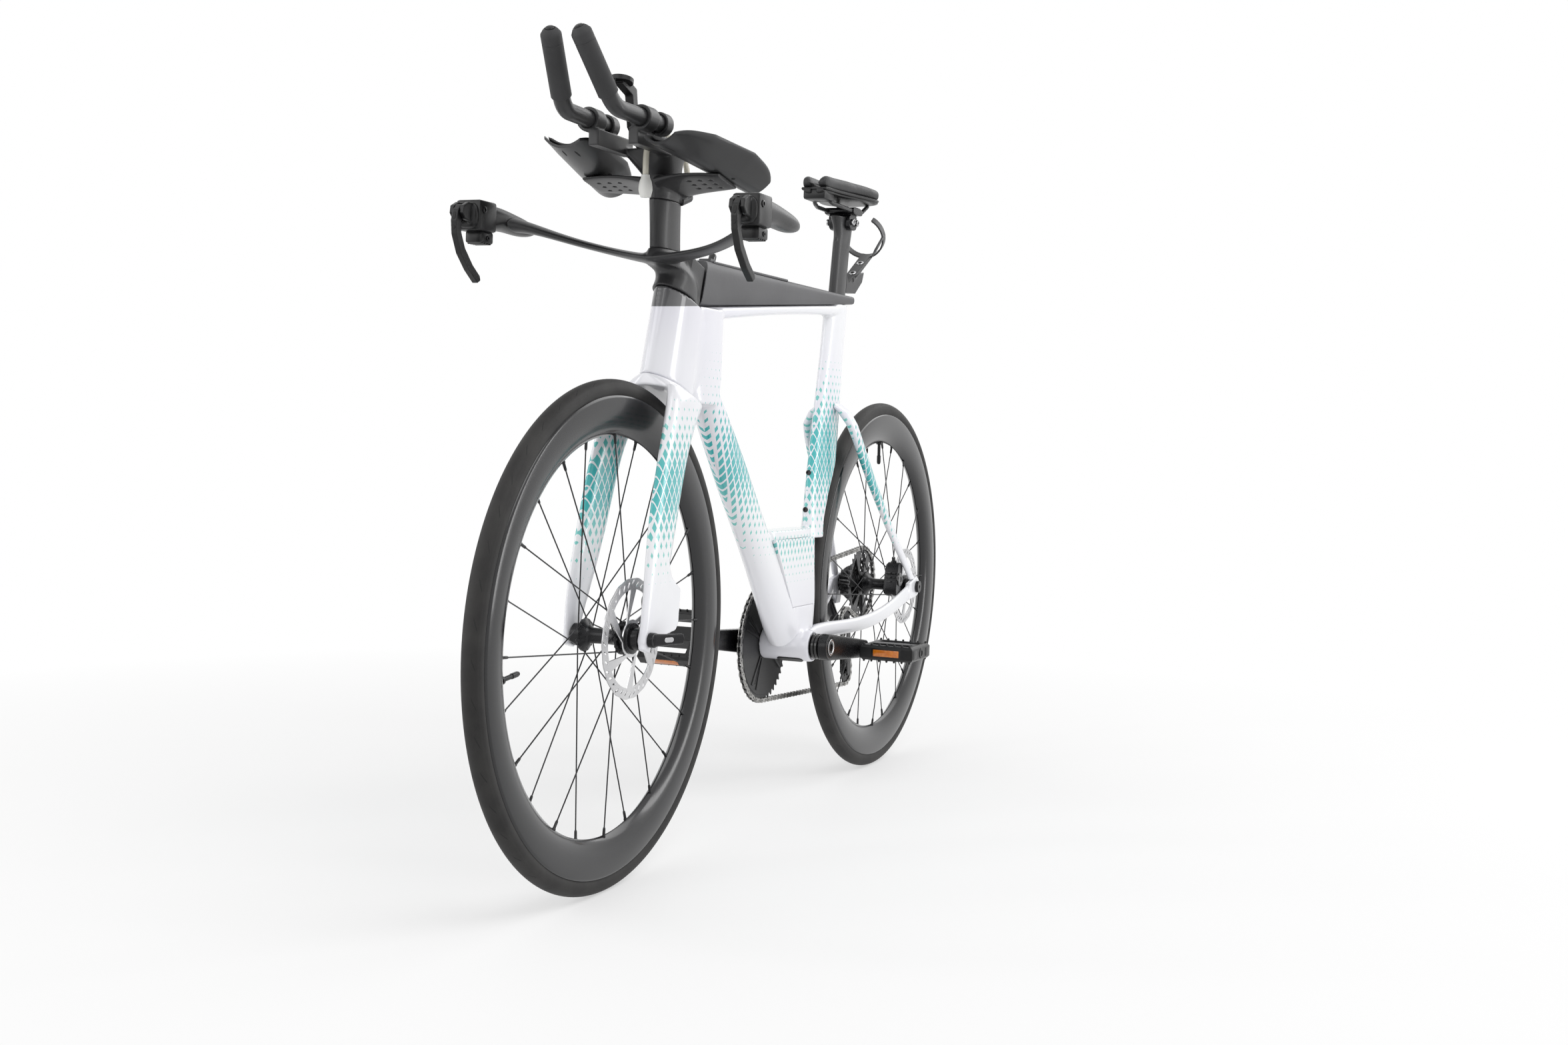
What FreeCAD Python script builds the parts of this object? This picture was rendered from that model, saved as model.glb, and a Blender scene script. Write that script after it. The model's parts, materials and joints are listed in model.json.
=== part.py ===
import FreeCAD, Part
import math
import os

import Sketcher
from FreeCAD import Placement, Rotation, Vector

# Time trial bike, in millimetres. +X is forward, +Y is the rider's left, +Z is up.
# The origin is on the ground, halfway between the two axles.

X = Vector(1, 0, 0)
Y = Vector(0, 1, 0)
Z = Vector(0, 0, 1)
LEFT = 1
RIGHT = -1
SIDES = (LEFT, RIGHT)

doc = FreeCAD.newDocument("time_trial_bike")
sheet = doc.addObject("Spreadsheet::Sheet", "Sizes")
sub_parts = []


class Size:
    """A length together with the text that binds it to its cell of the sheet."""

    def __init__(self, value, text):
        self.value = float(value)
        self.text = text

    def __float__(self):
        return self.value

    def __neg__(self):
        return Size(-self.value, f"(-{self.text})")

    def __add__(self, other):
        return Size(self.value + float(other), f"({self.text} + {text_of(other)})")

    def __sub__(self, other):
        return Size(self.value - float(other), f"({self.text} - {text_of(other)})")

    def __mul__(self, other):
        return Size(self.value * float(other), f"({self.text} * {text_of(other)})")

    def __truediv__(self, other):
        return Size(self.value / float(other), f"({self.text} / {text_of(other)})")


def text_of(value):
    return value.text if isinstance(value, Size) else repr(float(value))


def size(name, value):
    """One driving dimension, kept as a plain number in the sheet."""
    row = len(sheet.getUsedCells()) // 2 + 1
    sheet.set(f"A{row}", name)
    sheet.set(f"B{row}", str(value))
    sheet.setAlias(f"B{row}", name)
    sheet.recompute()
    return Size(sheet.get(name), f"Sizes.{name}")


# Wheels
wheelbase = size("wheelbase", 1055)
tyre_radius = size("tyre_radius", 338)
tyre_width = size("tyre_width", 27)
tyre_wall = size("tyre_wall", 2.5)
rim_radius = size("rim_radius", 316.5)
rim_depth = size("rim_depth", 52)
rim_width = size("rim_width", 28)
rim_wall = size("rim_wall", 2)
spoke_radius = size("spoke_radius", 1)
valve_radius = size("valve_radius", 3)
valve_length = size("valve_length", 40)
axle_radius = size("axle_radius", 6)
shaft_gap = size("shaft_gap", 0.05)
side_gap = size("side_gap", 0.3)
bearing_radius = size("bearing_radius", 12)
bearing_width = size("bearing_width", 8)
front_hub_width = size("front_hub_width", 100)
rear_hub_width = size("rear_hub_width", 142)
hub_end_radius = size("hub_end_radius", 15)
hub_shell_radius = size("hub_shell_radius", 10)
hub_bore = size("hub_bore", 7.5)
flange_radius = size("flange_radius", 22)
flange_width = size("flange_width", 4)
flange_neck = size("flange_neck", 5)
front_left_flange = size("front_left_flange", 22)
front_right_flange = size("front_right_flange", 34)
rear_left_flange = size("rear_left_flange", 34)
rear_right_flange = size("rear_right_flange", 19)
rotor_seat_radius = size("rotor_seat_radius", 17)
rotor_inset = size("rotor_inset", 15.4)
rotor_thickness = size("rotor_thickness", 1.8)
rotor_band = size("rotor_band", 15)
rotor_arm_width = size("rotor_arm_width", 7)
front_rotor_radius = size("front_rotor_radius", 80)
rear_rotor_radius = size("rear_rotor_radius", 70)
lockring_width = size("lockring_width", 3)

# Frame
chainstay_run = size("chainstay_run", 422.5)
bb_drop = size("bb_drop", 72)
bb_shell_width = size("bb_shell_width", 86.5)
bb_shell_radius = size("bb_shell_radius", 26)
bb_bearing_radius = size("bb_bearing_radius", 20.5)
bb_bearing_width = size("bb_bearing_width", 7)
spindle_radius = size("spindle_radius", 14.5)
tyre_room = size("tyre_room", 7)
seat_angle = size("seat_angle", 81)
seat_setback = size("seat_setback", 72)
seat_tube_rise = size("seat_tube_rise", 572)
seat_tube_width = size("seat_tube_width", 28)
post_depth = size("post_depth", 56)
post_width = size("post_width", 21)
post_insertion = size("post_insertion", 210)
post_exposed = size("post_exposed", 150)
dropout_thickness = size("dropout_thickness", 9)
dropout_radius = size("dropout_radius", 18)
down_tube_depth = size("down_tube_depth", 68)
down_tube_width = size("down_tube_width", 42)
store_width = size("store_width", 46)
hatch_thickness = size("hatch_thickness", 5)
hatch_gap = size("hatch_gap", 0.4)
cover_front_height = size("cover_front_height", 66)
cover_rear_height = size("cover_rear_height", 14)
cover_width = size("cover_width", 44)
lid_thickness = size("lid_thickness", 4)
lid_length = size("lid_length", 280)
lid_width = size("lid_width", 32)
lid_ledge = size("lid_ledge", 4)
cover_store_depth = size("cover_store_depth", 28)

# Steering
head_angle = size("head_angle", 73)
fork_rake = size("fork_rake", 44)
crown_height = size("crown_height", 361)
head_length = size("head_length", 127)
head_width = size("head_width", 54)
head_nose = size("head_nose", 64)
head_heel = size("head_heel", 57)
steerer_radius = size("steerer_radius", 14.3)
headset_radius = size("headset_radius", 20.9)
headset_height = size("headset_height", 7)
headset_gap = size("headset_gap", 0.6)
blade_depth = size("blade_depth", 76)
blade_width = size("blade_width", 20)
fork_dropout_width = size("fork_dropout_width", 12)
stem_heel = size("stem_heel", 30)
stem_height = size("stem_height", 42)
bar_reach = size("bar_reach", 200)
wing_depth = size("wing_depth", 42)
wing_thickness = size("wing_thickness", 11)
riser_depth = size("riser_depth", 76)
riser_width = size("riser_width", 27)
riser_height = size("riser_height", 66)
extension_radius = size("extension_radius", 11.1)
extension_spread = size("extension_spread", 40)
grip_radius = size("grip_radius", 13.2)
grip_length = size("grip_length", 84)
button_radius = size("button_radius", 5.5)
button_travel = size("button_travel", 2)
cup_thickness = size("cup_thickness", 4)
cup_half_width = size("cup_half_width", 42)
pad_thickness = size("pad_thickness", 9)
puck_radius = size("puck_radius", 15.5)
puck_height = size("puck_height", 6)
puck_bore_radius = size("puck_bore_radius", 9.3)
puck_depth = size("puck_depth", 3)
hose_radius = size("hose_radius", 4)
lever_width = size("lever_width", 9)
lever_pin_radius = size("lever_pin_radius", 2.5)

# Drive
crank_length = size("crank_length", 172.5)
crank_thickness = size("crank_thickness", 15)
crank_inset = size("crank_inset", 59)
crank_width = size("crank_width", 30)
chain_line = size("chain_line", 45.6)
ring_thickness = size("ring_thickness", 3.4)
ring_tooth_thickness = size("ring_tooth_thickness", 1.2)
cassette_line = size("cassette_line", 29.5)
cog_pitch = size("cog_pitch", 3.3)
cog_thickness = size("cog_thickness", 1.8)
chain_pitch = size("chain_pitch", 12.7)
chain_height = size("chain_height", 8)
plate_thickness = size("plate_thickness", 1.1)
plate_inset = size("plate_inset", 2.2)
pedal_axle_radius = size("pedal_axle_radius", 5)
pedal_length = size("pedal_length", 94)
pedal_width = size("pedal_width", 96)
pedal_height = size("pedal_height", 26)

# Saddle
saddle_length = size("saddle_length", 200)
saddle_width = size("saddle_width", 108)
saddle_thickness = size("saddle_thickness", 21)
rail_radius = size("rail_radius", 3.5)
rail_spread = size("rail_spread", 22)
bottle_radius = size("bottle_radius", 37)
cage_band = size("cage_band", 15)
cage_wall = size("cage_wall", 3)

SPOKES_PER_SIDE = 12
SPOKE_CROSSES = 2
ROTOR_ARMS = 6
CHAINRING_TEETH = 48
COG_TEETH = (33, 28, 24, 21, 19, 17, 16, 15, 14, 13, 12, 11)
WHEEL_TEETH = 12
CRANK_TURN = 6.3
RIGHT_PEDAL_TILT = 50

doc.recompute()


# Helpers

def bind(thing, **sizes):
    """Binds properties to the sheet; a double underscore stands for a dot."""
    for name, value in sizes.items():
        thing.setExpression(name.replace("__", "."), text_of(value))


def keep(thing, label):
    thing.Label = label
    sub_parts.append(thing)
    return thing


def feature(label, shape):
    thing = doc.addObject("Part::Feature", label)
    thing.Shape = shape
    return keep(thing, label)


def group(label, things):
    """Separate solids that share one node."""
    thing = doc.addObject("Part::Compound", label)
    thing.Links = things
    return keep(thing, label)


def cut(name, base, tool):
    thing = doc.addObject("Part::Cut", name)
    thing.Base = base
    thing.Tool = tool
    return thing


def cylinder_across(name, radius, start, end, x, z):
    """A bound cylinder along Y, from one side position to another."""
    thing = doc.addObject("Part::Cylinder", name)
    thing.Placement = Placement(Vector(), Rotation(X, -90))
    bind(thing, Radius=radius, Height=end - start)
    bind(thing, Placement__Base__x=x, Placement__Base__y=start, Placement__Base__z=z)
    return thing


def torus_across(name, ring, tube, x, z):
    thing = doc.addObject("Part::Torus", name)
    thing.Placement = Placement(Vector(), Rotation(X, -90))
    bind(thing, Radius1=ring, Radius2=tube, Placement__Base__x=x, Placement__Base__z=z)
    return thing


def origin_plane(body, role):
    return next(f for f in body.Origin.OriginFeatures if f.Role == role)


def outline(body, name, corners):
    """A closed outline of straight lines in the body's XY plane, bound corner by corner."""
    sketch = body.newObject("Sketcher::SketchObject", name)
    sketch.AttachmentSupport = [(origin_plane(body, "XY_Plane"), "")]
    sketch.MapMode = "FlatFace"
    places = [Vector(float(x), float(y), 0) for x, y in corners]
    count = len(places)
    for index in range(count):
        sketch.addGeometry(Part.LineSegment(places[index], places[(index + 1) % count]), False)
    for index in range(count):
        sketch.addConstraint(Sketcher.Constraint("Coincident", index, 2, (index + 1) % count, 1))
        for kind, value in zip(("DistanceX", "DistanceY"), corners[index]):
            rule = sketch.addConstraint(Sketcher.Constraint(kind, -1, 1, index, 1, float(value)))
            sketch.setExpression(f"Constraints[{rule}]", text_of(value))
    return sketch


def turned(label, x, z, corners, hollow=None):
    """A solid of revolution about an axle along Y; corners are (radius, side position)."""
    body = doc.addObject("PartDesign::Body", label)
    bind(body, Placement__Base__x=x, Placement__Base__z=z)
    sketch = outline(body, f"{label}_outline", corners)
    turn = body.newObject("PartDesign::Revolution", f"{label}_turn")
    turn.Profile = sketch
    turn.ReferenceAxis = (sketch, ["V_Axis"])
    turn.Angle = 360
    if hollow:
        room = outline(body, f"{label}_room", hollow)
        groove = body.newObject("PartDesign::Groove", f"{label}_groove")
        groove.Profile = room
        groove.ReferenceAxis = (room, ["V_Axis"])
        groove.Angle = 360
    return keep(body, label)


def rounded(centre, along, across, depth, width, nose=0.62, tail=0.62):
    """A smooth closed section; nose and tail say how square its two ends are."""
    front, back = along * (depth / 2), along * (-depth / 2)
    left, right = across * (width / 2), across * (-width / 2)
    quarters = (
        (front, left, nose), (left, back, tail), (back, right, tail), (right, front, nose),
    )
    edges = []
    for start, end, square in quarters:
        curve = Part.BezierCurve()
        poles = (start, start + end * square, end + start * square, end)
        curve.setPoles([centre + pole for pole in poles])
        edges.append(curve.toShape())
    return Part.Wire(edges)


def loft(sections, straight=False):
    return Part.makeLoft(sections, True, straight)


def prism(points, y_start, y_end):
    """A plate cut to an outline of (x, z) points, between two side positions."""
    corners = [Vector(x, y_start, z) for x, z in points]
    face = Part.Face(Part.makePolygon(corners + corners[:1]))
    return face.extrude(Y * (y_end - y_start))


def rod(start, end, radius):
    run = end - start
    return Part.makeCylinder(radius, run.Length, start, run)


def path(points, radii):
    """Straight runs joined by tangent arcs, one radius for each inner point."""
    edges = []
    last = points[0]
    for before, corner, after, radius in zip(points, points[1:], points[2:], radii):
        back = (before - corner).normalize()
        onward = (after - corner).normalize()
        half = back.getAngle(onward) / 2
        reach = radius / math.tan(half)
        start = corner + back * reach
        end = corner + onward * reach
        bisector = (back + onward).normalize()
        middle = corner + bisector * (radius / math.sin(half) - radius)
        edges.append(Part.LineSegment(last, start).toShape())
        edges.append(Part.Arc(start, middle, end).toShape())
        last = end
    edges.append(Part.LineSegment(last, points[-1]).toShape())
    return Part.Wire(edges)


def pipe(wire, points, radius):
    circle = Part.Circle(points[0], points[1] - points[0], radius)
    return wire.makePipeShell([Part.Wire([circle.toShape()])], True, False)


def main_solid(shape):
    """The largest solid of a shape, without the scraps of a cut."""
    return max(shape.Solids, key=lambda solid: solid.Volume)


def mirrored(shape):
    return shape.mirror(Vector(), Y)


def both_sides(label, left_shape):
    """One node with a solid on each side."""
    return feature(label, Part.makeCompound([left_shape, mirrored(left_shape)]))


# Reference points

front_x = wheelbase / 2
rear_x = -(wheelbase / 2)
axle_z = tyre_radius
bb_x = rear_x + chainstay_run
bb_z = axle_z - bb_drop
rim_bed = rim_radius - rim_depth

front_axle_point = Vector(float(front_x), 0, float(axle_z))
rear_axle_point = Vector(float(rear_x), 0, float(axle_z))
bb_point = Vector(float(bb_x), 0, float(bb_z))

lean = math.radians(90 - float(head_angle))
steer_up = Vector(-math.sin(lean), 0, math.cos(lean))
steer_forward = Vector(math.cos(lean), 0, math.sin(lean))
steer_base = front_axle_point - steer_forward * float(fork_rake)
head_low = float(crown_height)
head_high = float(crown_height + head_length)


def on_steer(forward, side, height):
    """A point given ahead of the steering axis, to the left, and up along it."""
    return steer_base + steer_forward * forward + Y * side + steer_up * height


stem_point = on_steer(0, 0, head_high)


def at_stem(forward, side, up):
    """A point of the cockpit, level with the ground, from the top of the head tube."""
    return stem_point + Vector(forward, side, up)


def at_bb(forward, side, up):
    return bb_point + Vector(forward, side, up)


def at_rear(forward, side, up):
    return rear_axle_point + Vector(forward, side, up)


seat_lean = math.radians(90 - float(seat_angle))
seat_up = Vector(-math.sin(seat_lean), 0, math.cos(seat_lean))
seat_forward = Vector(math.cos(seat_lean), 0, math.sin(seat_lean))


def on_seat(forward, side, up):
    """A point beside the seat post's axis, level sections, up from the bottom bracket."""
    lift = up / math.cos(seat_lean)
    return bb_point - X * float(seat_setback) + seat_up * lift + X * forward + Y * side


# Wheels

def wheel(name, x, hub_half, right_end, left_flange, right_flange, rotor_radius, valve_turn):
    """One wheel with its hub, rotor, spokes, valve and bearings."""
    bead = cylinder_across(f"{name}_bead", rim_radius, -tyre_width, tyre_width, x, axle_z)
    crown = tyre_radius - tyre_width / 2
    outer = torus_across(f"{name}_casing", crown, tyre_width / 2, x, axle_z)
    inner = torus_across(f"{name}_air", crown, tyre_width / 2 - tyre_wall, x, axle_z)
    keep(cut(f"{name}_tyre", cut(f"{name}_shell", outer, inner), bead), f"{name}_tyre")

    half = rim_width / 2
    right_wall = [
        (rim_radius, half * 0.86), (rim_radius - rim_depth * 0.28, half),
        (rim_radius - rim_depth * 0.62, half * 0.86), (rim_bed + rim_depth * 0.12, half * 0.5),
        (rim_bed, half * 0.24),
    ]
    room = [
        (rim_radius - rim_wall, half * 0.86 - rim_wall), (rim_radius - rim_depth * 0.28, half - rim_wall),
        (rim_radius - rim_depth * 0.62, half * 0.86 - rim_wall),
        (rim_bed + rim_depth * 0.12 + rim_wall, half * 0.5 - rim_wall),
        (rim_bed + rim_wall, half * 0.1),
    ]
    turned(f"{name}_rim", x, axle_z, mirror_outline(right_wall), mirror_outline(room))

    rotor_y = hub_half - rotor_inset
    rotor_face = rotor_y + rotor_thickness / 2
    width = hub_half - side_gap
    left_neck = left_flange - flange_width / 2
    right_neck = right_flange - flange_width / 2
    turned(f"{name}_hub", x, axle_z, [
        (bearing_radius, -right_end), (hub_end_radius, -right_end),
        (hub_end_radius, -(right_flange + flange_width / 2)),
        (flange_radius, -(right_flange + flange_width / 2)), (flange_radius, -right_neck),
        (hub_shell_radius, flange_neck - right_neck), (hub_shell_radius, left_neck - flange_neck),
        (flange_radius, left_neck), (flange_radius, left_flange + flange_width / 2),
        (rotor_seat_radius, left_flange + flange_width / 2), (rotor_seat_radius, rotor_face),
        (rotor_seat_radius + lockring_width, rotor_face),
        (rotor_seat_radius + lockring_width, rotor_face + lockring_width),
        (hub_end_radius, rotor_face + lockring_width), (hub_end_radius, width),
        (bearing_radius, width), (bearing_radius, width - bearing_width),
        (hub_bore, width - bearing_width), (hub_bore, bearing_width - right_end),
        (bearing_radius, bearing_width - right_end),
    ])

    races = []
    for end, low in (("left", width - bearing_width), ("right", -right_end)):
        race = cylinder_across(f"{name}_{end}_race", bearing_radius, low, low + bearing_width, x, axle_z)
        bore = cylinder_across(f"{name}_{end}_race_bore", axle_radius + shaft_gap,
                               low - side_gap, low + bearing_width + side_gap, x, axle_z)
        races.append(cut(f"{name}_{end}_bearing", race, bore))
    group(f"{name}_hub_bearings", races)

    rotor_low = rotor_y - rotor_thickness / 2
    disc = cylinder_across(f"{name}_disc", rotor_radius, rotor_low, rotor_face, x, axle_z)
    seat = cylinder_across(f"{name}_disc_seat", rotor_seat_radius, rotor_low, rotor_face, x, axle_z)
    windows = doc.addObject("Part::Feature", f"{name}_disc_windows")
    windows.Shape = rotor_windows(float(x), float(rotor_y), float(rotor_radius))
    ring = cut(f"{name}_disc_ring", disc, seat)
    keep(cut(f"{name}_rotor", ring, windows), f"{name}_rotor")

    feature(f"{name}_spokes", spokes(float(x), float(left_flange), float(right_flange)))

    inward = Vector(-math.cos(valve_turn), 0, -math.sin(valve_turn))
    centre = Vector(float(x), 0, float(axle_z))
    valve = doc.addObject("Part::Cylinder", f"{name}_valve")
    bind(valve, Radius=valve_radius, Height=valve_length)
    valve.Placement = Placement(centre - inward * float(rim_bed), Rotation(Z, inward))
    keep(valve, f"{name}_valve")


def mirror_outline(half):
    return half + [(radius, -side) for radius, side in reversed(half)]


def rotor_windows(x, y, radius):
    """The openings between a rotor's arms."""
    inner = float(rotor_seat_radius) + 2 * float(lockring_width)
    outer = radius - float(rotor_band)
    deep = float(rotor_thickness)
    arm = float(rotor_arm_width)
    centre = Vector(x, y - deep, float(axle_z))
    band = Part.makeCylinder(outer, 2 * deep, centre, Y).cut(Part.makeCylinder(inner, 2 * deep, centre, Y))
    for index in range(ROTOR_ARMS):
        turn = 360 * index / ROTOR_ARMS
        bar = Part.makeBox(radius, 2 * deep, arm, Vector(0, -deep, inner - arm))
        bar.rotate(Vector(), Y, turn)
        bar.translate(Vector(x, y, float(axle_z)))
        band = band.cut(bar)
    return band


def spokes(x, left_flange, right_flange):
    """Crossed spokes from the flanges' holes to the bed of the rim."""
    hole = float(flange_radius) - 2 * float(spoke_radius)
    end = float(rim_bed) + float(rim_wall) / 2
    pitch = 2 * math.pi / SPOKES_PER_SIDE
    wires = []
    for side, flange in ((LEFT, left_flange), (RIGHT, right_flange)):
        lag = 0.0 if side == LEFT else 0.5
        for index in range(SPOKES_PER_SIDE):
            rim_turn = (index + lag) * pitch
            sweep = SPOKE_CROSSES * pitch * (1 if index % 2 else -1)
            start = spoke_end(x, hole, side * flange, rim_turn + sweep)
            wires.append(rod(start, spoke_end(x, end, side * 2, rim_turn), float(spoke_radius)))
    return Part.makeCompound(wires)


def spoke_end(x, radius, side, turn):
    return Vector(x + radius * math.cos(turn), side, float(axle_z) + radius * math.sin(turn))


front_half = front_hub_width / 2
rear_half = rear_hub_width / 2
freehub_start = rear_right_flange + flange_width
wheel("front", front_x, front_half, front_half - side_gap, front_left_flange, front_right_flange,
      front_rotor_radius, math.radians(-6))
wheel("rear", rear_x, rear_half, freehub_start + bearing_width / 2, rear_left_flange, rear_right_flange,
      rear_rotor_radius, math.radians(88))


# Main frame

def head_shell():
    low = on_steer(float(head_nose - head_heel) / 2, 0, head_low + float(headset_gap))
    high = on_steer(float(head_nose - head_heel) / 2 + 2, 0, head_high - float(headset_gap))
    depth = float(head_nose + head_heel)
    return loft([
        rounded(low, steer_forward, Y, depth, float(head_width), 0.5, 0.8),
        rounded(high, steer_forward, Y, depth - 4, float(head_width) - 2, 0.5, 0.8),
    ])


def neck_web():
    """The web behind the head tube, down to the tube below it and up to the tube above it."""
    width = float(head_width)
    return loft([
        rounded(at_stem(-62, 0, -142), X, Y, 96, width - 8, 0.6, 0.8),
        rounded(at_stem(-56, 0, -92), X, Y, 122, width - 6, 0.6, 0.85),
        rounded(at_stem(-54, 0, -40), X, Y, 128, width - 6, 0.6, 0.85),
        rounded(at_stem(-54, 0, -4), X, Y, 132, width - 6, 0.6, 0.85),
    ])


tube_top = at_stem(-52, 0, -92)
tube_foot = at_bb(25, 0, 24)
tube_run = (tube_top - tube_foot).normalize()
tube_normal = Vector(tube_run.z, 0, -tube_run.x)


def down_tube():
    depth = float(down_tube_depth)
    width = float(down_tube_width)
    stations = ((0.0, 0.6, 1.0), (0.13, 0.72, 1.0), (0.27, 0.94, 0.96), (0.5, 1.0, 0.96), (0.75, 1.06, 1.05),
                (1.0, 1.06, 1.3))
    sections = []
    for share, deep, wide in stations:
        centre = tube_top + (tube_foot - tube_top) * share
        sections.append(rounded(centre, tube_normal, Y, depth * deep, width * wide, 0.55, 0.8))
    return loft(sections)


cover_seat_front = at_stem(28, 0, -9)
cover_seat_rear = on_seat(-54, 0, float(seat_tube_rise) + 4)


def cover_seat(share):
    """The sloping joint between the top tube and its cover, from the front to the rear."""
    return cover_seat_front + (cover_seat_rear - cover_seat_front) * share


def top_tube():
    sections = []
    for share, deep, wide in ((0.05, 24, 42), (0.3, 18, 38), (0.6, 15, 33), (0.93, 20, 29)):
        seat = cover_seat(share)
        sections.append(rounded(seat - Z * (deep / 2), Z, Y, deep, wide, 0.9, 0.75))
    return loft(sections)


def seat_tube():
    width = float(seat_tube_width)
    foot = 174
    rise = float(seat_tube_rise) - foot
    stations = ((0, 104, 1.43), (0.118, 106, 1.07), (0.274, 108, 1), (0.392, 104, 0.98), (0.503, 98, 0.98),
                (0.704, 86, 0.98), (0.874, 80, 1), (1, 78, 1))
    sections = []
    for share, depth, wide in stations:
        sections.append(rounded(on_seat(0, 0, foot + rise * share), X, Y, depth, width * wide, 0.55, 0.7))
    return loft(sections)


def storage_box():
    width = float(store_width)
    return loft([
        rounded(at_bb(0, 0, 0), X, Y, 70, width + 24, 0.6, 0.7),
        rounded(at_bb(-6, 0, 64), X, Y, 132, width + 4, 0.8, 0.8),
        rounded(at_bb(18, 0, 130), X, Y, 176, width, 0.85, 0.85),
        rounded(at_bb(40, 0, 192), X, Y, 184, width - 4, 0.85, 0.85),
    ])


def post_section(up, room):
    centre = bb_point - X * float(seat_setback) + seat_up * (up / math.cos(seat_lean))
    depth = float(post_depth) + 2 * room
    return rounded(centre, seat_forward, Y, depth, float(post_width) + 2 * room, 0.55, 0.7)


seat_crest = float(seat_tube_rise)
post_foot = seat_crest - float(post_insertion)
post_crest = seat_crest + float(post_exposed)
post_gap = float(side_gap)
post_room = loft([post_section(post_foot - 4, post_gap), post_section(seat_crest + 60, post_gap)])

rear_tyre_room = Part.makeCylinder(float(tyre_radius + tyre_room), 200, rear_axle_point - Y * 100, Y)
crown_room = Part.makeCylinder(float(head_heel) + 7, head_low, steer_base, steer_up)
crown_room.translate(steer_up * float(headset_gap))
stem_seat = on_steer(0, 0, head_high - float(headset_gap))
stem_room = Part.makeCylinder(float(stem_heel) + 2, 200, stem_seat, steer_up)
headset_low = on_steer(0, 0, head_low + float(headset_gap))
headset_high = on_steer(0, 0, head_high - float(headset_gap + headset_height))
steerer_room = Part.makeCylinder(float(steerer_radius) + 2, head_high, on_steer(0, 0, 40), steer_up)

hatch_outline = (at_bb(128, 0, 178), at_bb(-40, 0, 178), at_bb(-48, 0, 66), at_bb(46, 0, 66))
hatch_middle = sum(hatch_outline, Vector()) * 0.25
store_side = float(store_width) / 2
hatch_floor = store_side - float(hatch_thickness)


def hatch_plate(share, y_start, y_end):
    """A plate of the hatch's outline, drawn in towards its middle by a share."""
    points = [hatch_middle + (corner - hatch_middle) * share for corner in hatch_outline]
    return prism([(point.x, point.z) for point in points], y_start, y_end)


hatch_clear = 1 + 2 * float(hatch_gap) / 100
frame_shape = head_shell().fuse([neck_web(), down_tube(), top_tube(), seat_tube(), storage_box()])
bb_start = bb_point - Y * float(bb_shell_width) / 2
bb_shell = Part.makeCylinder(float(bb_shell_radius), float(bb_shell_width), bb_start, Y)
bb_bore = Part.makeCylinder(float(bb_bearing_radius), 200, bb_point - Y * 100, Y)
frame_shape = frame_shape.fuse(bb_shell).removeSplitter()
for room in (
    rear_tyre_room, crown_room, stem_room, steerer_room, post_room, bb_bore,
    Part.makeCylinder(float(headset_radius), float(headset_height), headset_low, steer_up),
    Part.makeCylinder(float(headset_radius), float(headset_height), headset_high, steer_up),
    hatch_plate(hatch_clear, hatch_floor, 80),
    hatch_plate(0.8, 6 - store_side, hatch_floor),
):
    frame_shape = frame_shape.cut(room)
main_frame = feature("main_frame", main_solid(frame_shape))

hatch = hatch_plate(1.0, hatch_floor, store_side + 1)
feature("storage_hatch", hatch)


def headset_bearing(base):
    ring = Part.makeCylinder(float(headset_radius), float(headset_height), base, steer_up)
    bore = Part.makeCylinder(float(steerer_radius + shaft_gap), 40, base - steer_up * 10, steer_up)
    return ring.cut(bore)


feature("headset_bearings", Part.makeCompound([headset_bearing(headset_low), headset_bearing(headset_high)]))

bb_half = bb_shell_width / 2
bb_races = []
for name, low in (("left", bb_half - bb_bearing_width), ("right", -bb_half)):
    race = cylinder_across(f"bb_{name}_race", bb_bearing_radius, low, low + bb_bearing_width, bb_x, bb_z)
    bore = cylinder_across(f"bb_{name}_race_bore", spindle_radius + shaft_gap,
                           low - side_gap, low + bb_bearing_width + side_gap, bb_x, bb_z)
    bb_races.append(cut(f"bb_{name}_bearing", race, bore))
group("bb_bearings", bb_races)


# Stays

def chain_stay():
    """The left chain stay with its dropout; the right one mirrors it."""
    inner = float(rear_half)
    outer = inner + float(dropout_thickness)
    middle = (inner + outer) / 2
    stay = loft([
        rounded(at_bb(-14, 27, 10), Z, Y, 34, 24),
        rounded(at_bb(-95, 30, 18), Z, Y, 27, 20),
        rounded(at_bb(-188, 45, 19), Z, Y, 25, 16),
        rounded(at_rear(130, 61, -40), Z, Y, 26, 13),
        rounded(at_rear(34, middle, -8), Z, Y, 30, float(dropout_thickness)),
    ])
    plate = Part.makeCylinder(float(dropout_radius), outer - inner, at_rear(0, inner, 0), Y)
    corners = (at_rear(40, 0, 8), at_rear(40, 0, -22), at_rear(0, 0, -18), at_rear(0, 0, 18))
    web = prism([(p.x, p.z) for p in corners], inner, outer)
    hole = Part.makeCylinder(float(axle_radius + shaft_gap), 60, at_rear(0, inner - 20, 0), Y)
    return stay.fuse([plate, web]).cut(hole)


def hanger():
    """The tab under the right dropout that carries the derailleur."""
    inner = float(rear_half)
    corners = (at_rear(-14, 0, -10), at_rear(18, 0, -10), at_rear(20, 0, -40), at_rear(-4, 0, -40))
    return prism([(p.x, p.z) for p in corners], -inner - float(dropout_thickness), -inner)


left_chain_stay = chain_stay()
right_chain_stay = mirrored(left_chain_stay).fuse(hanger())
chain_stay_shapes = []
for stay in (left_chain_stay, right_chain_stay):
    chain_stay_shapes.append(main_solid(stay.cut(main_frame.Shape).cut(bb_bore)))
chain_stays = feature("chain_stays", Part.makeCompound(chain_stay_shapes))


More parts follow.
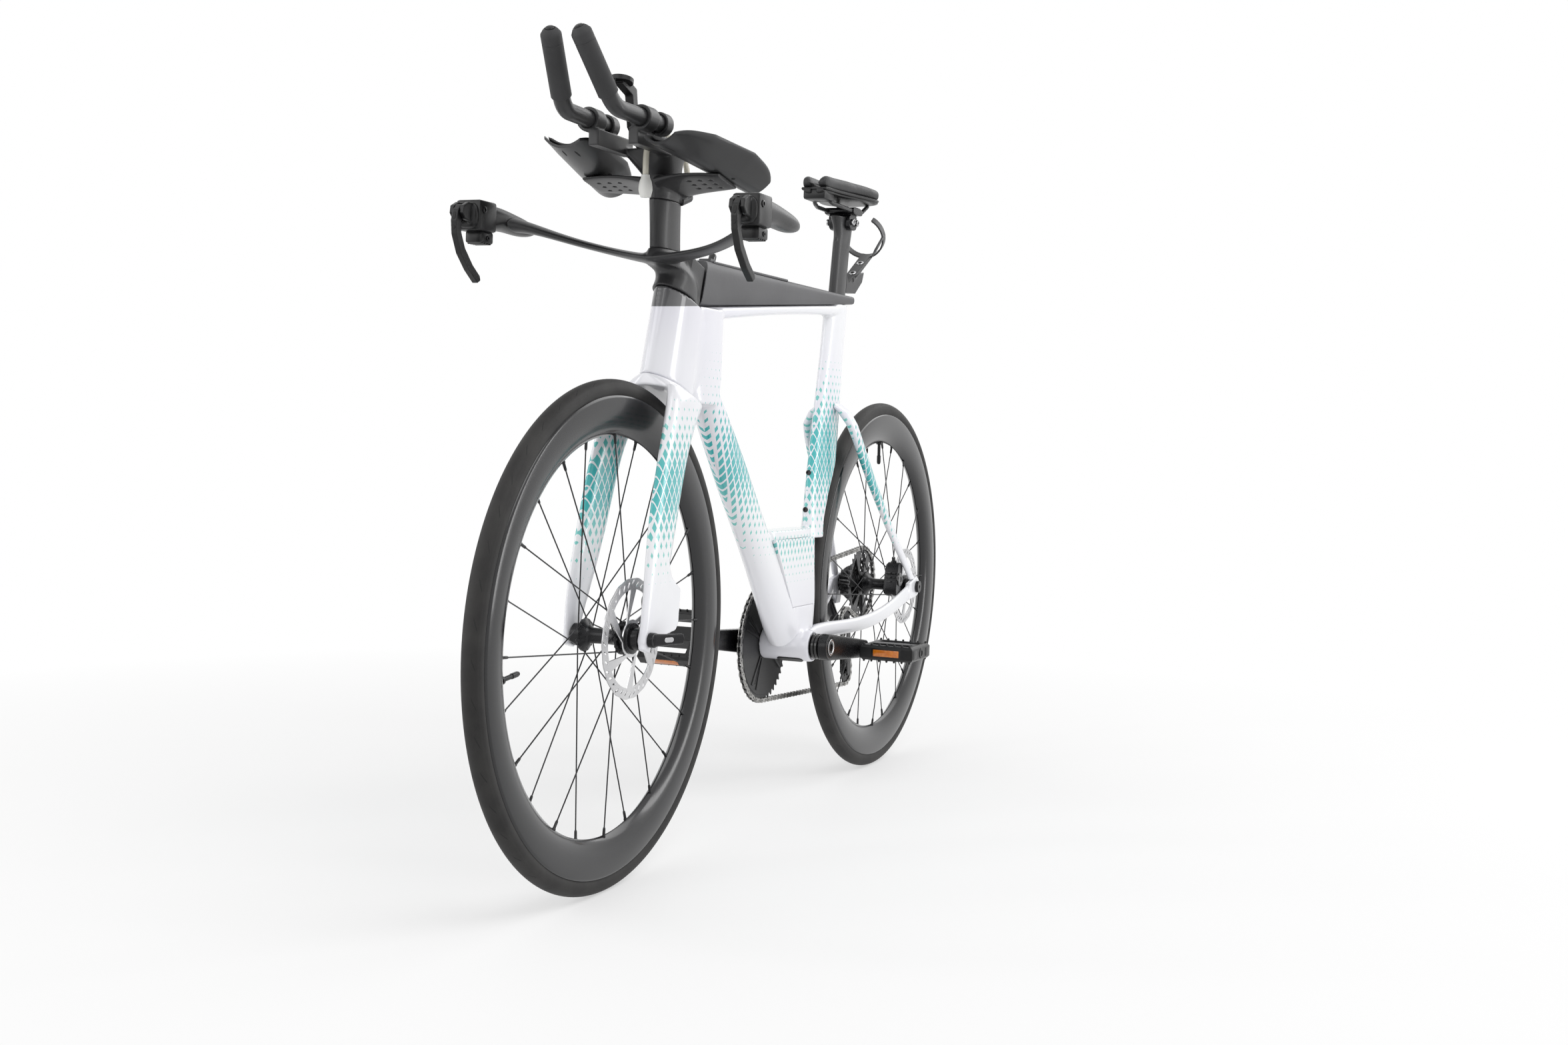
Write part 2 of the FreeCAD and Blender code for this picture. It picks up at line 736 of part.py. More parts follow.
def seat_stay():
    foot = float(rear_half + dropout_thickness / 2)
    return loft([
        rounded(at_bb(-152, 4, 404), X, Y, 44, 18),
        rounded(at_bb(-153, 26, 388), X, Y, 38, 20),
        rounded(at_bb(-157, 40, 366), X, Y, 34, 17),
        rounded(at_bb(-172, 44, 344), X, Y, 33, 15),
        rounded(at_rear(187, 51, 195), X, Y, 31, 14),
        rounded(at_rear(97, 61, 102), X, Y, 29, 12),
        rounded(at_rear(16, foot, 14), X, Y, 26, 9),
    ], True)


seat_stay_shapes = []
for shape, stay in zip((seat_stay(), mirrored(seat_stay())), chain_stay_shapes):
    seat_stay_shapes.append(main_solid(shape.cut(main_frame.Shape).cut(stay)))
feature("seat_stays", Part.makeCompound(seat_stay_shapes))


# Top tube cover and its lid

cover_front_top = cover_seat(0.11) + Z * float(cover_front_height)
cover_rear_top = cover_seat_rear + Z * float(cover_rear_height)
lid_rear = cover_front_top + (cover_rear_top - cover_front_top) * 0.5
lid_slope = (cover_front_top - cover_rear_top).normalize()
lid_up = Vector(-lid_slope.z, 0, lid_slope.x)


def cover_shape():
    width = float(cover_width)
    sections = []
    for share, wide in ((-0.02, 1.1), (0.3, 1.0), (0.7, 0.8), (1.0, 0.66)):
        foot = cover_seat(share)
        crest = cover_front_top + (cover_rear_top - cover_front_top) * ((share - 0.11) / 0.89)
        tall = crest.z - foot.z
        centre = foot + Z * (tall / 2)
        sections.append(rounded(centre, Z, Y, tall, width * wide, 0.9, 0.95))
    shell = loft(sections)
    return shell.cut([main_frame.Shape, stem_room, post_room, lid_room(), cover_store()])


def lid_room():
    """The sunk place of the lid, cut into the cover's top."""
    thickness = float(lid_thickness)
    return lid_plate(1, thickness - 1, 30)


def cover_store():
    """The store under the lid, with a ledge left all round for the lid to rest on."""
    ledge = float(lid_ledge)
    depth = float(lid_thickness + cover_store_depth)
    store = Part.makeBox(float(lid_length) - 2 * ledge, float(lid_width) - 2 * ledge, depth)
    store.translate(Vector(ledge, ledge - float(lid_width) / 2, -depth))
    store.Placement = Placement(lid_rear, Rotation(lid_slope, Y, lid_up, "ZXY")).multiply(store.Placement)
    return store


def lid_plate(grow, below, above):
    length = float(lid_length) + 2 * grow * float(side_gap)
    width = float(lid_width) + 2 * grow * float(side_gap)
    plate = Part.makeBox(length, width, below + above)
    plate.translate(Vector(-grow * float(side_gap), -width / 2, -below))
    plate.Placement = Placement(lid_rear, Rotation(lid_slope, Y, lid_up, "ZXY")).multiply(plate.Placement)
    return plate


feature("top_tube_cover", main_solid(cover_shape()))
lid_tab = Part.makeBox(14, float(lid_width) * 0.6, 5)
lid_tab.translate(Vector(float(lid_length) - 16, -float(lid_width) * 0.3, 0))
lid_tab.Placement = Placement(lid_rear, Rotation(lid_slope, Y, lid_up, "ZXY")).multiply(lid_tab.Placement)
lid_body = lid_plate(0, float(lid_thickness) - 1 - float(side_gap), 1)
feature("storage_lid", lid_body.fuse(lid_tab).removeSplitter())


# Axles

front_axle_end = front_half + fork_dropout_width
front_axle_rod = Part.makeCylinder(float(axle_radius), 2 * float(front_axle_end),
                                   front_axle_point - Y * float(front_axle_end), Y)
lever_root = front_axle_point + Y * float(front_axle_end)
lever_run = Vector(-0.88, 0.47, 0)
front_axle_head = Part.makeCylinder(10, 8, lever_root, Y)
lever_arm = loft([
    rounded(lever_root + Y * 6 + lever_run * -2, Z, Vector(0.47, 0.88, 0), 18, 11, 0.7, 0.7),
    rounded(lever_root + Y * 6 + lever_run * 22, Z, Vector(0.47, 0.88, 0), 15, 9, 0.7, 0.7),
    rounded(lever_root + Y * 6 + lever_run * 46, Z, Vector(0.47, 0.88, 0), 14, 8, 0.7, 0.7),
])
beside_leg = Part.makeBox(160, 80, 80, lever_root + Vector(-80, -80, -40))
feature("front_axle", front_axle_rod.fuse(front_axle_head).fuse(lever_arm.cut(beside_leg)))

rear_axle_end = rear_half + dropout_thickness
rear_rod = cylinder_across("rear_axle_rod", axle_radius, -rear_axle_end, rear_axle_end, rear_x, axle_z)
rear_head = cylinder_across("rear_axle_head", axle_radius * 1.8,
                            rear_axle_end, rear_axle_end + axle_radius, rear_x, axle_z)
rear_key = cylinder_across("rear_axle_key", axle_radius / 2,
                           rear_axle_end, rear_axle_end + axle_radius * 2, rear_x, axle_z)
rear_axle = doc.addObject("Part::Fuse", "rear_axle")
rear_axle.Base = rear_rod
rear_axle.Tool = cut("rear_axle_socket", rear_head, rear_key)
keep(rear_axle, "rear_axle")


# Fork

def fork_leg():
    """The left leg; heights run up the steering axis from the axle."""
    depth = float(blade_depth)
    width = float(blade_width)
    foot = float(front_half) + float(fork_dropout_width) / 2
    rake = float(fork_rake)
    thin = float(fork_dropout_width)
    stations = (
        (-16, rake, foot, 26, thin), (4, rake, foot, 36, thin), (30, rake, foot + 0.5, 46, thin + 0.6),
        (90, rake, foot - 1, depth * 0.82, width * 0.8), (170, rake, foot - 4, depth * 0.96, width * 0.95),
        (head_low - 111, rake - 3, foot - 6, depth, width),
        (head_low - 56, rake - 12, foot - 9, depth * 1.1, width * 1.15),
        (head_low - 14, rake - 34, foot - 19, depth * 1.35, width * 1.4),
    )
    sections = []
    for up, forward, side, deep, wide in stations:
        sections.append(rounded(on_steer(forward, side, up), steer_forward, Y, deep, wide, 0.55, 0.6))
    return loft(sections)


def fork_crown():
    middle = float(head_nose - head_heel) / 2
    depth = float(head_nose + head_heel)
    return loft([
        rounded(on_steer(middle, 0, head_low - 17), steer_forward, Y, depth - 4, 88, 0.75, 0.75),
        rounded(on_steer(middle, 0, head_low - 9), steer_forward, Y, depth - 2, 80, 0.68, 0.75),
        rounded(on_steer(middle, 0, head_low), steer_forward, Y, depth, float(head_width), 0.5, 0.8),
    ])


def caliper_fairing():
    """The fin behind the foot of the left leg that covers the front caliper."""
    inner = float(front_half)
    corners = (on_steer(58, 0, -8), on_steer(52, 0, 140), on_steer(22, 0, 108), on_steer(6, 0, 92),
               on_steer(-24, 0, 84), on_steer(-33, 0, 38), on_steer(-28, 0, 28), on_steer(30, 0, 2))
    return prism([(p.x, p.z) for p in corners], inner, inner + float(fork_dropout_width))


left_leg = fork_leg()
steerer_foot = on_steer(0, 0, head_low - 6)
steerer_length = float(head_length) + 46
steerer = Part.makeCylinder(float(steerer_radius), steerer_length, steerer_foot, steer_up)
axle_hole = Part.makeCylinder(float(axle_radius + shaft_gap), 300, front_axle_point - Y * 150, Y)
tyre_arch = Part.makeCylinder(float(tyre_radius) + 4.5, 60, front_axle_point - Y * 30, Y)
above_crown = Part.makeCylinder(160, 120, on_steer(0, 0, head_low), steer_up)
fork_shape = left_leg.fuse([mirrored(left_leg), fork_crown(), caliper_fairing()])
fork_shape = fork_shape.cut([above_crown, tyre_arch]).fuse(steerer).cut(axle_hole)
fork = feature("fork", main_solid(fork_shape))


# Brake calipers

def caliper(centre, run, out, y_low, y_high, rotor_y):
    """A caliper body with its two pads, straddling a rotor."""
    tall, long = 27, 62
    block = loft([
        rounded(Vector(centre.x, y_low, centre.z), run, out, long - 8, tall - 6, 0.85, 0.85),
        rounded(Vector(centre.x, y_low + 4, centre.z), run, out, long, tall, 0.85, 0.85),
        rounded(Vector(centre.x, y_high, centre.z), run, out, long, tall, 0.85, 0.85),
    ], True)
    slot_half = float(rotor_thickness) / 2 + 3
    slot = Part.makeBox(120, 2 * slot_half, 120)
    slot.translate(Vector(-60, rotor_y - slot_half, -60))
    seat = Placement(Vector(centre.x, 0, centre.z), Rotation(run, Y, out, "XZY"))
    slot.Placement = seat.multiply(slot.Placement)
    slot.translate(out * (-60 + tall / 2 - 7))
    solids = [block.cut(slot)]
    pad_gap = float(rotor_thickness) / 2 + 0.4
    for side in SIDES:
        y_start = rotor_y + side * pad_gap
        pad_face = rounded(Vector(centre.x, y_start, centre.z) - out * 3, run, out, 30, 16, 0.85, 0.85)
        solids.append(Part.Face(pad_face).extrude(Y * (side * (slot_half - pad_gap))))
    return solids


front_rotor_y = float(front_half - rotor_inset)
front_out = (steer_up * 0.62 - steer_forward * 0.78).normalize()
front_run = Vector(front_out.z, 0, -front_out.x)
front_caliper_centre = front_axle_point + front_out * (float(front_rotor_radius) - 6)
front_caliper_solids = caliper(front_caliper_centre, front_run, front_out,
                               front_rotor_y - 14, float(front_half), front_rotor_y)
front_caliper_solids = [main_solid(solid.cut(fork.Shape)) for solid in front_caliper_solids]
feature("front_caliper", Part.makeCompound(front_caliper_solids))

rear_rotor_y = float(rear_half - rotor_inset)
rear_out = Vector(0.97, 0, 0.25).normalize()
rear_run = Vector(rear_out.z, 0, -rear_out.x)
rear_caliper_centre = rear_axle_point + rear_out * (float(rear_rotor_radius) - 4)
rear_caliper_solids = caliper(rear_caliper_centre, rear_run, rear_out,
                              rear_rotor_y - 14, rear_rotor_y + 12, rear_rotor_y)
rear_caliper_solids = [main_solid(solid.cut(Part.makeCompound(chain_stay_shapes + seat_stay_shapes)))
                       for solid in rear_caliper_solids]
feature("rear_caliper", Part.makeCompound(rear_caliper_solids))


# Base bar with its stem

def stem_shape():
    heel = float(stem_heel)
    nose = float(head_nose) + 2
    tall = float(stem_height)
    depth = heel + nose
    width = float(head_width) - 2
    middle = (nose - heel) / 2
    waist = on_steer(middle + 2, 0, head_high + tall * 0.6)
    body = loft([
        rounded(on_steer(middle, 0, head_high), steer_forward, Y, depth, width, 0.55, 0.62),
        rounded(waist, steer_forward, Y, depth - 2, width - 3, 0.55, 0.62),
        rounded(at_stem(38, 0, tall + 4), X, Y, 112, width - 10, 0.55, 0.62),
        rounded(at_stem(50, 0, tall + 24), X, Y, float(riser_depth) + 4, float(riser_width) + 2, 0.55, 0.6),
    ])
    heel_block = Part.makeCylinder(heel - 0.5, tall * 1.4, on_steer(0, 0, head_high), steer_up)
    slab = Part.makeBox(400, width - 10, 400, at_stem(-200, 5 - width / 2, -100))
    return body.fuse(heel_block.common(slab))


def wing_shape():
    """The left wing, from the middle of the bar out to its hood."""
    depth = float(wing_depth)
    thick = float(wing_thickness)
    reach = float(bar_reach)
    stations = (
        (0, 72, 51, depth * 1.35, thick * 1.3), (reach * 0.15, 69, 55, depth * 1.15, thick * 1.15),
        (reach * 0.33, 67, 62, depth, thick), (reach * 0.6, 91, 75, depth * 0.95, thick),
        (reach * 0.8, 119, 87, depth, thick * 1.3), (reach - 16, 139, 92, depth * 1.1, thick * 1.8),
    )
    sections = []
    for side, forward, up, deep, tall in stations:
        sections.append(rounded(at_stem(forward, side, up), X, Z, deep, tall, 0.55, 0.6))
    return loft(sections)


left_wing = wing_shape()
stem_bore = Part.makeCylinder(float(steerer_radius + shaft_gap), steerer_length, steerer_foot, steer_up)
base_bar_shape = stem_shape().fuse([left_wing, mirrored(left_wing)]).cut(stem_bore)
base_bar = feature("base_bar", main_solid(base_bar_shape))


# Riser and bridge

riser_foot = float(stem_height) + 24


def riser_shape():
    depth = float(riser_depth)
    width = float(riser_width)
    tall = float(riser_height)
    return loft([
        rounded(at_stem(50, 0, riser_foot), X, Y, depth, width, 0.55, 0.6),
        rounded(at_stem(52, 0, riser_foot + tall * 0.5), X, Y, depth - 1, width + 1, 0.55, 0.6),
        rounded(at_stem(54, 0, riser_foot + tall), X, Y, depth - 2, width + 4, 0.55, 0.6),
    ])


riser_crest = riser_foot + float(riser_height)
deck_height = riser_crest + 60
extension_height = deck_height + 26
riser = feature("riser", riser_shape())

extension_back = at_stem(140, float(extension_spread), extension_height)
extension_knee = at_stem(273, float(extension_spread) - 4, extension_height)
extension_tip = at_stem(335, float(extension_spread) - 19, extension_height + 80)
extension_points = [extension_back, extension_knee, extension_tip]
extension_wire = path(extension_points, [34])
left_extension = pipe(extension_wire, extension_points, float(extension_radius))
tip_run = (extension_tip - extension_knee).normalize()
grip_foot = extension_tip - tip_run * float(grip_length)
both_sides("extensions", left_extension)

cap_height = 7
grip_sleeve = rod(grip_foot, extension_tip, float(grip_radius)).cut(left_extension)
grip_cap = rod(extension_tip, extension_tip + tip_run * cap_height, float(grip_radius))
button_bore = rod(extension_tip, extension_tip + tip_run * 30, float(button_radius) + float(side_gap))
both_sides("extension_grips", grip_sleeve.fuse(grip_cap).cut(button_bore).removeSplitter())

button_foot = extension_tip + tip_run * (float(button_travel) + 1)
button_crest = extension_tip + tip_run * (cap_height + float(button_travel))
left_button = rod(button_foot, button_crest, float(button_radius))
feature("left_bar_end_button", left_button)
feature("right_bar_end_button", mirrored(left_button))


hose_side = 15
hose_points = [
    at_stem(12, hose_side, deck_height - 42), at_stem(16, hose_side, deck_height - 16),
    at_stem(33, hose_side, deck_height + 8), at_stem(60, hose_side, deck_height + 21),
    at_stem(90, hose_side, deck_height + 25), at_stem(121, hose_side, deck_height + 22),
    at_stem(141, hose_side, deck_height + 2), at_stem(144, hose_side, deck_height - 22),
    at_stem(143, hose_side, deck_height - 40),
]
plate_run = Vector(0.987, 0, 0.16).normalize()
plate_up = Vector(-plate_run.z, 0, plate_run.x)


def rest_plate():
    """The drilled wing that carries the left arm rest."""
    level = riser_crest + 22
    wing = loft([
        rounded(at_stem(62, 6, level - 6), plate_run, plate_up, 84, 14, 0.8, 0.8),
        rounded(at_stem(68, 44, level - 1), plate_run, plate_up, 82, 7, 0.85, 0.85),
        rounded(at_stem(72, 76, level), plate_run, plate_up, 74, 6, 0.85, 0.85),
        rounded(at_stem(74, 102, level), plate_run, plate_up, 60, 6, 0.85, 0.85),
    ])
    holes = []
    for row in range(3):
        for column in range(3):
            foot = at_stem(56 + column * 16, 52 + row * 16, level - 20)
            holes.append(Part.makeCylinder(2.5, 40, foot, Z))
    return wing.cut(holes)


def hose_socket():
    """The elbow on the post that the drinking hose comes out of, square to the hose's end."""
    wall = float(hose_radius) + 2
    exit_run = (hose_points[1] - hose_points[0]).normalize()
    elbow = hose_points[0] - exit_run * (wall + 2)
    arms = [rod(at_stem(30, 11, deck_height - 58), elbow, wall), rod(elbow, hose_points[0], wall)]
    return Part.makeSphere(wall, elbow).fuse(arms)


def bridge_shape():
    """The post on top of the riser, its wings and deck, and the rings that hold the extensions."""
    post = loft([
        rounded(at_stem(54, 0, riser_crest), X, Y, float(riser_depth) - 2, float(riser_width) + 4, 0.55, 0.6),
        rounded(at_stem(62, 0, riser_crest + 28), X, Y, 82, 40, 0.6, 0.6),
        rounded(at_stem(84, 0, deck_height - 10), X, Y, 92, 62, 0.7, 0.7),
        rounded(at_stem(88, 0, deck_height), X, Y, 92, 72, 0.8, 0.8),
    ])
    spread = float(extension_spread)
    arm = Part.makeBox(98, 14, 22, at_stem(110, spread - 18, deck_height - 8))
    ring_run = (extension_knee - extension_back).normalize()
    ring_start = extension_back + ring_run * 42
    ring = rod(ring_start, ring_start + ring_run * 26, float(extension_radius) + 5)
    rear_start = extension_back + ring_run * 2
    rear_ring = rod(rear_start, rear_start + ring_run * 18, float(extension_radius) + 4)
    solids = [arm, ring, rear_ring, rest_plate()]
    solids += [mirrored(solid) for solid in solids]
    solids.append(hose_socket())
    return post.fuse(solids).cut([left_extension, mirrored(left_extension), riser.Shape])


bridge = feature("extension_bridge", main_solid(bridge_shape()))


# Arm rests

rest_rear = at_stem(7, 110, riser_crest + 14)
rest_front = at_stem(217, 70, riser_crest + 48)
rest_run = (rest_front - rest_rear).normalize()
rest_side = Z.cross(rest_run).normalize()
rest_up = rest_run.cross(rest_side)


def trough(share, half, sag, low, high):
    """A curved band across the arm rest, between two heights above its floor."""
    middle = rest_rear + (rest_front - rest_rear) * share
    ends = {}
    for name, level in (("low", low), ("high", high)):
        ends[name] = (
            middle - rest_side * half + rest_up * (sag + level),
            middle + rest_up * level,
            middle + rest_side * half + rest_up * (sag * 1.15 + level),
        )
    low_arc = Part.Arc(*ends["low"]).toShape()
    high_arc = Part.Arc(*reversed(ends["high"])).toShape()
    right_end = Part.LineSegment(ends["low"][2], ends["high"][2]).toShape()
    left_end = Part.LineSegment(ends["high"][0], ends["low"][0]).toShape()
    return Part.Wire([low_arc, right_end, high_arc, left_end])


cup_stations = ((0.0, 0.8, 20), (0.3, 1.0, 27), (0.7, 0.94, 24), (1.0, 0.7, 15))


def cup_shape():
    half = float(cup_half_width)
    thick = float(cup_thickness)
    return loft([trough(share, half * wide, sag, 0, thick) for share, wide, sag in cup_stations])


def pad_shape():
    """A cushion in the cup: thick along its middle, thin and drawn in at its edges."""
    half = float(cup_half_width)
    low = float(cup_thickness + side_gap) + 0.6
    crown = float(pad_thickness)
    shares = ((0.04, 0.68, 15, 0.35), (0.12, 0.8, 19.5, 0.85), (0.3, 0.88, 21, 1.0), (0.7, 0.82, 18.5, 1.0),
              (0.9, 0.68, 14, 0.85), (0.97, 0.58, 11, 0.35))
    sections = []
    for share, wide, sag, tall in shares:
        sections.append(trough(share, half * wide, sag, low, low + crown * tall))
    return loft(sections)


left_cup = main_solid(cup_shape().cut([bridge.Shape, left_extension]))
both_sides("arm_rests", left_cup)
both_sides("arm_pads", main_solid(pad_shape().cut([left_cup, bridge.Shape, left_extension])))


# Computer mount

def computer_mount():
    puck_centre = at_stem(189, 0, deck_height + 77)
    tilt = Vector(math.sin(math.radians(-10)), 0, math.cos(math.radians(-10)))
    stations = ((116, 0), (133, 0), (160, 22), (168, 62), (199, 72), (180, 80), (156, 72), (148, 30))
    corners = [at_stem(forward, 0, deck_height + up) for forward, up in stations]
    tall = float(puck_height)
    puck_foot = puck_centre - tilt * (tall - float(puck_depth))
    above_puck = Part.makeCylinder(float(puck_radius), 20, puck_foot + tilt * tall, tilt)
    arm = prism([(p.x, p.z) for p in corners], -6, 6).cut(above_puck)
    puck = Part.makeCylinder(float(puck_radius), tall, puck_foot, tilt)
    bore = Part.makeCylinder(float(puck_bore_radius), 20, puck_centre, tilt)
    return arm.fuse(puck).cut(bore)


feature("computer_mount", main_solid(computer_mount()))


# Drinking hose and its bite valve

def bend_radii(points):
    """The largest arc that each corner's two runs leave room for."""
    radii = []
    for before, corner, after in zip(points, points[1:], points[2:]):
        turn = (corner - before).getAngle(after - corner)
        shorter = min((corner - before).Length, (after - corner).Length)
        radii.append(0.45 * shorter / math.tan(turn / 2))
    return radii


hose_radii = bend_radii(hose_points)
hose_wire = path(hose_points, hose_radii)
hose = pipe(hose_wire, hose_points, float(hose_radius))
print("hose bend radii", [round(radius, 1) for radius in hose_radii])
print("hose volume", round(hose.Volume), "section times length",
      round(math.pi * float(hose_radius) ** 2 * hose_wire.Length), "length", round(hose_wire.Length, 1))
feature("drink_hose", hose)

valve_top = hose_points[-1]
valve_down = (hose_points[-1] - hose_points[-2]).normalize()
valve_parts = ((0, 5.4, 8.4, 8), (8, 8.4, 9.2, 10), (18, 9.2, 6.6, 9))
valve_shape = None
for start, radius, end_radius, length in valve_parts:
    piece = Part.makeCone(radius, end_radius, length, valve_top + valve_down * start, valve_down)
    valve_shape = valve_shape.fuse(piece) if valve_shape else piece
feature("bite_valve", valve_shape.removeSplitter())


# Brake hoods and levers

def hood_point(forward, up):
    return at_stem(forward, float(bar_reach), up)


lever_pivot = hood_point(250, 99)
lever_half = float(lever_width) / 2
ear_inner = lever_half + float(side_gap)


def hood_shape():
    grip = loft([
        rounded(hood_point(70, 92), Y, Z, 14, 12),
        rounded(hood_point(90, 93), Y, Z, 26, 22),
        rounded(hood_point(120, 95), Y, Z, 31, 27),
        rounded(hood_point(150, 97), Y, Z, 33, 30),
        rounded(hood_point(180, 96), Y, Z, 34, 34, 0.75, 0.75),
        rounded(hood_point(236, 95), Y, Z, 34, 32, 0.75, 0.75),
    ])
    ears = []
    for side in SIDES:
        start = float(bar_reach) + (ear_inner if side == LEFT else -ear_inner - 6)
        corners = (hood_point(228, 82), hood_point(228, 110), hood_point(246, 110), hood_point(258, 104),
                   hood_point(260, 94), hood_point(252, 86))
        ears.append(prism([(p.x, p.z) for p in corners], start, start + 6))
    pin = Part.makeCylinder(float(lever_pin_radius), 2 * ear_inner + 8, lever_pivot - Y * (ear_inner + 4), Y)
    return main_solid(grip.fuse(ears).fuse(pin).cut(base_bar.Shape))


both_sides("lever_hoods", hood_shape())


def lever_blade():
    start = float(bar_reach) - lever_half
    back = ((243, 103), (244, 92), (253, 84), (253, 70), (243, 50), (224, 30), (206, 17))
    front = ((204, 11), (211, 7), (232, 22), (252, 42), (264, 66), (266, 84), (262, 98), (254, 106))
    corners = [hood_point(forward, up) for forward, up in back + front]
    blade = prism([(p.x, p.z) for p in corners], start, start + float(lever_width))
    hole = Part.makeCylinder(float(lever_pin_radius + shaft_gap), 60, lever_pivot - Y * 30, Y)
    return blade.cut(hole)


left_lever = lever_blade()
feature("left_brake_lever", left_lever)
feature("right_brake_lever", mirrored(left_lever))


# Crank, chainring and pedals

crank_slope = math.radians(CRANK_TURN)
crank_run = Vector(math.cos(crank_slope), 0, math.sin(crank_slope))
crank_up = Vector(-crank_run.z, 0, crank_run.x)


def pedal_eye(forward):
    """The middle of a pedal's axle: ahead of the spindle on the right, behind it on the left."""
    return bb_point + crank_run * (forward * float(crank_length))


def crank_arm(side, forward):
    """One crank arm with its pedal's thread and its boss."""
    inner = float(crank_inset)
    thick = float(crank_thickness)
    width = float(crank_width)
    y_low = inner if side == LEFT else -inner - thick
    eye = pedal_eye(forward)
    boss = Part.makeCylinder(width * 0.72, thick, bb_point + Y * y_low, Y)
    end = Part.makeCylinder(width * 0.5, thick, eye + Y * y_low, Y)
    corners = (
        bb_point + crank_up * (width * 0.72), bb_point - crank_up * (width * 0.72),
        eye - crank_up * (width * 0.5), eye + crank_up * (width * 0.5),
    )
    beam = prism([(p.x, p.z) for p in corners], y_low, y_low + thick)
    thread = Part.makeCylinder(float(pedal_axle_radius + shaft_gap), 60, eye + Y * (y_low - 20), Y)
    return boss.fuse([end, beam]).cut(thread)


spindle_end = crank_inset + crank_thickness
ring_y = -float(chain_line)
ring_half = float(ring_thickness) / 2
spider_face = ring_y - ring_half
spindle_shape = Part.makeCylinder(float(spindle_radius), 2 * float(spindle_end) - 2,
                                  bb_point - Y * (float(spindle_end) - 1), Y)
spider = Part.makeCylinder(32, float(crank_inset) + spider_face, bb_point - Y * float(crank_inset), Y)
right_crank = crank_arm(RIGHT, 1).fuse([spindle_shape, spider])
feature("right_crank", right_crank.removeSplitter())

spindle_hole = Part.makeCylinder(float(spindle_radius), 200, bb_point, Y)
left_collar = Part.makeCylinder(19, float(crank_inset - bb_half) - 1, at_bb(0, float(bb_half) + 1, 0), Y)
feature("left_crank", crank_arm(LEFT, -1).fuse(left_collar).cut(spindle_hole).removeSplitter())


def pitch_radius(teeth):
    return float(chain_pitch) / (2 * math.sin(math.pi / teeth))


def toothed_disc(centre, teeth, y_low, y_high, turn=0.0):
    """A sprocket blank whose teeth reach up between the chain's plates."""
    pitch = pitch_radius(teeth)
    root = pitch - float(chain_height) / 2 - 0.4
    tip = pitch + 2.2
    step = 2 * math.pi / teeth
    corners = []
    for index in range(teeth):
        for offset, radius in ((-0.34, root), (-0.1, tip), (0.1, tip), (0.34, root)):
            angle = turn + (index + offset) * step
            corners.append((centre.x + radius * math.cos(angle), centre.z + radius * math.sin(angle)))
    return prism(corners, y_low, y_high)


tooth_half = float(ring_tooth_thickness) / 2
ring_disc = toothed_disc(bb_point, CHAINRING_TEETH, ring_y - tooth_half, ring_y + tooth_half)
web_radius = pitch_radius(CHAINRING_TEETH) - 9
ring_web = Part.makeCylinder(web_radius, float(ring_thickness), bb_point + Y * spider_face, Y)
ring_hole = Part.makeCylinder(float(bb_shell_radius) - 2, 200, bb_point - Y * 100, Y)
feature("chainring", ring_disc.fuse(ring_web).cut(ring_hole))

pedal_run = float(pedal_length)
pedal_start = float(spindle_end) + 6
pedal_axles = []
for side, forward in ((LEFT, -1), (RIGHT, 1)):
    eye = pedal_eye(forward)
    low = float(crank_inset) + 1
    axle_end = eye + Y * (side * (pedal_start + pedal_run - 6))
    axle = rod(eye + Y * (side * low), axle_end, float(pedal_axle_radius))
    collar = rod(eye + Y * (side * float(spindle_end)), eye + Y * (side * (pedal_start - 1)), 8)
    pedal_axles.append(axle.fuse(collar).removeSplitter())
feature("pedal_axles", Part.makeCompound(pedal_axles))


def pedal(side, forward, tilt):
    """A platform pedal with two windows, tilted nose down about its axle."""
    eye = pedal_eye(forward)
    wide = float(pedal_width)
    tall = float(pedal_height)
    low = pedal_start if side == LEFT else -pedal_start - pedal_run
    frame_box = Part.makeBox(wide, pedal_run, tall, eye + Vector(-wide / 2, low, -tall / 2))
    frame_box = frame_box.makeChamfer(4, [edge for edge in frame_box.Edges if edge.Length > wide - 3])
    rooms = []
    for start, end in ((-wide / 2 + 11, -13), (13, wide / 2 - 11)):
        rooms.append(Part.makeBox(end - start, pedal_run - 22, 80, eye + Vector(start, low + 11, -40)))
    bore = Part.makeCylinder(float(pedal_axle_radius + shaft_gap), pedal_run - 5,
                             eye + Y * (low if side == LEFT else low + 5), Y)
    shape = frame_box.cut(rooms + [bore])
    shape.rotate(eye, Y, tilt)
    return shape


feature("left_pedal", pedal(LEFT, -1, 0))
feature("right_pedal", pedal(RIGHT, 1, RIGHT_PEDAL_TILT))


# Cassette

def cassette_shape():
    """The freehub with its stack of cogs, the largest nearest the spokes."""
    line = -float(cassette_line)
    thick = float(cog_thickness)
    start = float(freehub_start + bearing_width / 2 + side_gap)
    end = float(rear_half - side_gap)
    core = Part.makeCylinder(17, end - start, at_rear(0, -end, 0), Y)
    cogs = []
    for index, teeth in enumerate(COG_TEETH):
        middle = line - index * float(cog_pitch)
        cogs.append(toothed_disc(rear_axle_point, teeth, middle - thick / 2, middle + thick / 2))
    bore = Part.makeCylinder(float(axle_radius + shaft_gap), 200, at_rear(0, -100, 0), Y)
    stack = core
    for cog in cogs:
        stack = stack.fuse(cog)
    return stack.cut(bore)


feature("cassette", cassette_shape())


# Derailleur

chain_y = -float(cassette_line)
guide_point = at_rear(78.5, chain_y, -66)
tension_point = at_rear(70, chain_y, -157)
cage_pivot = at_rear(64, chain_y, -72)
wheel_half = 2.0
plate_gap = 5.4


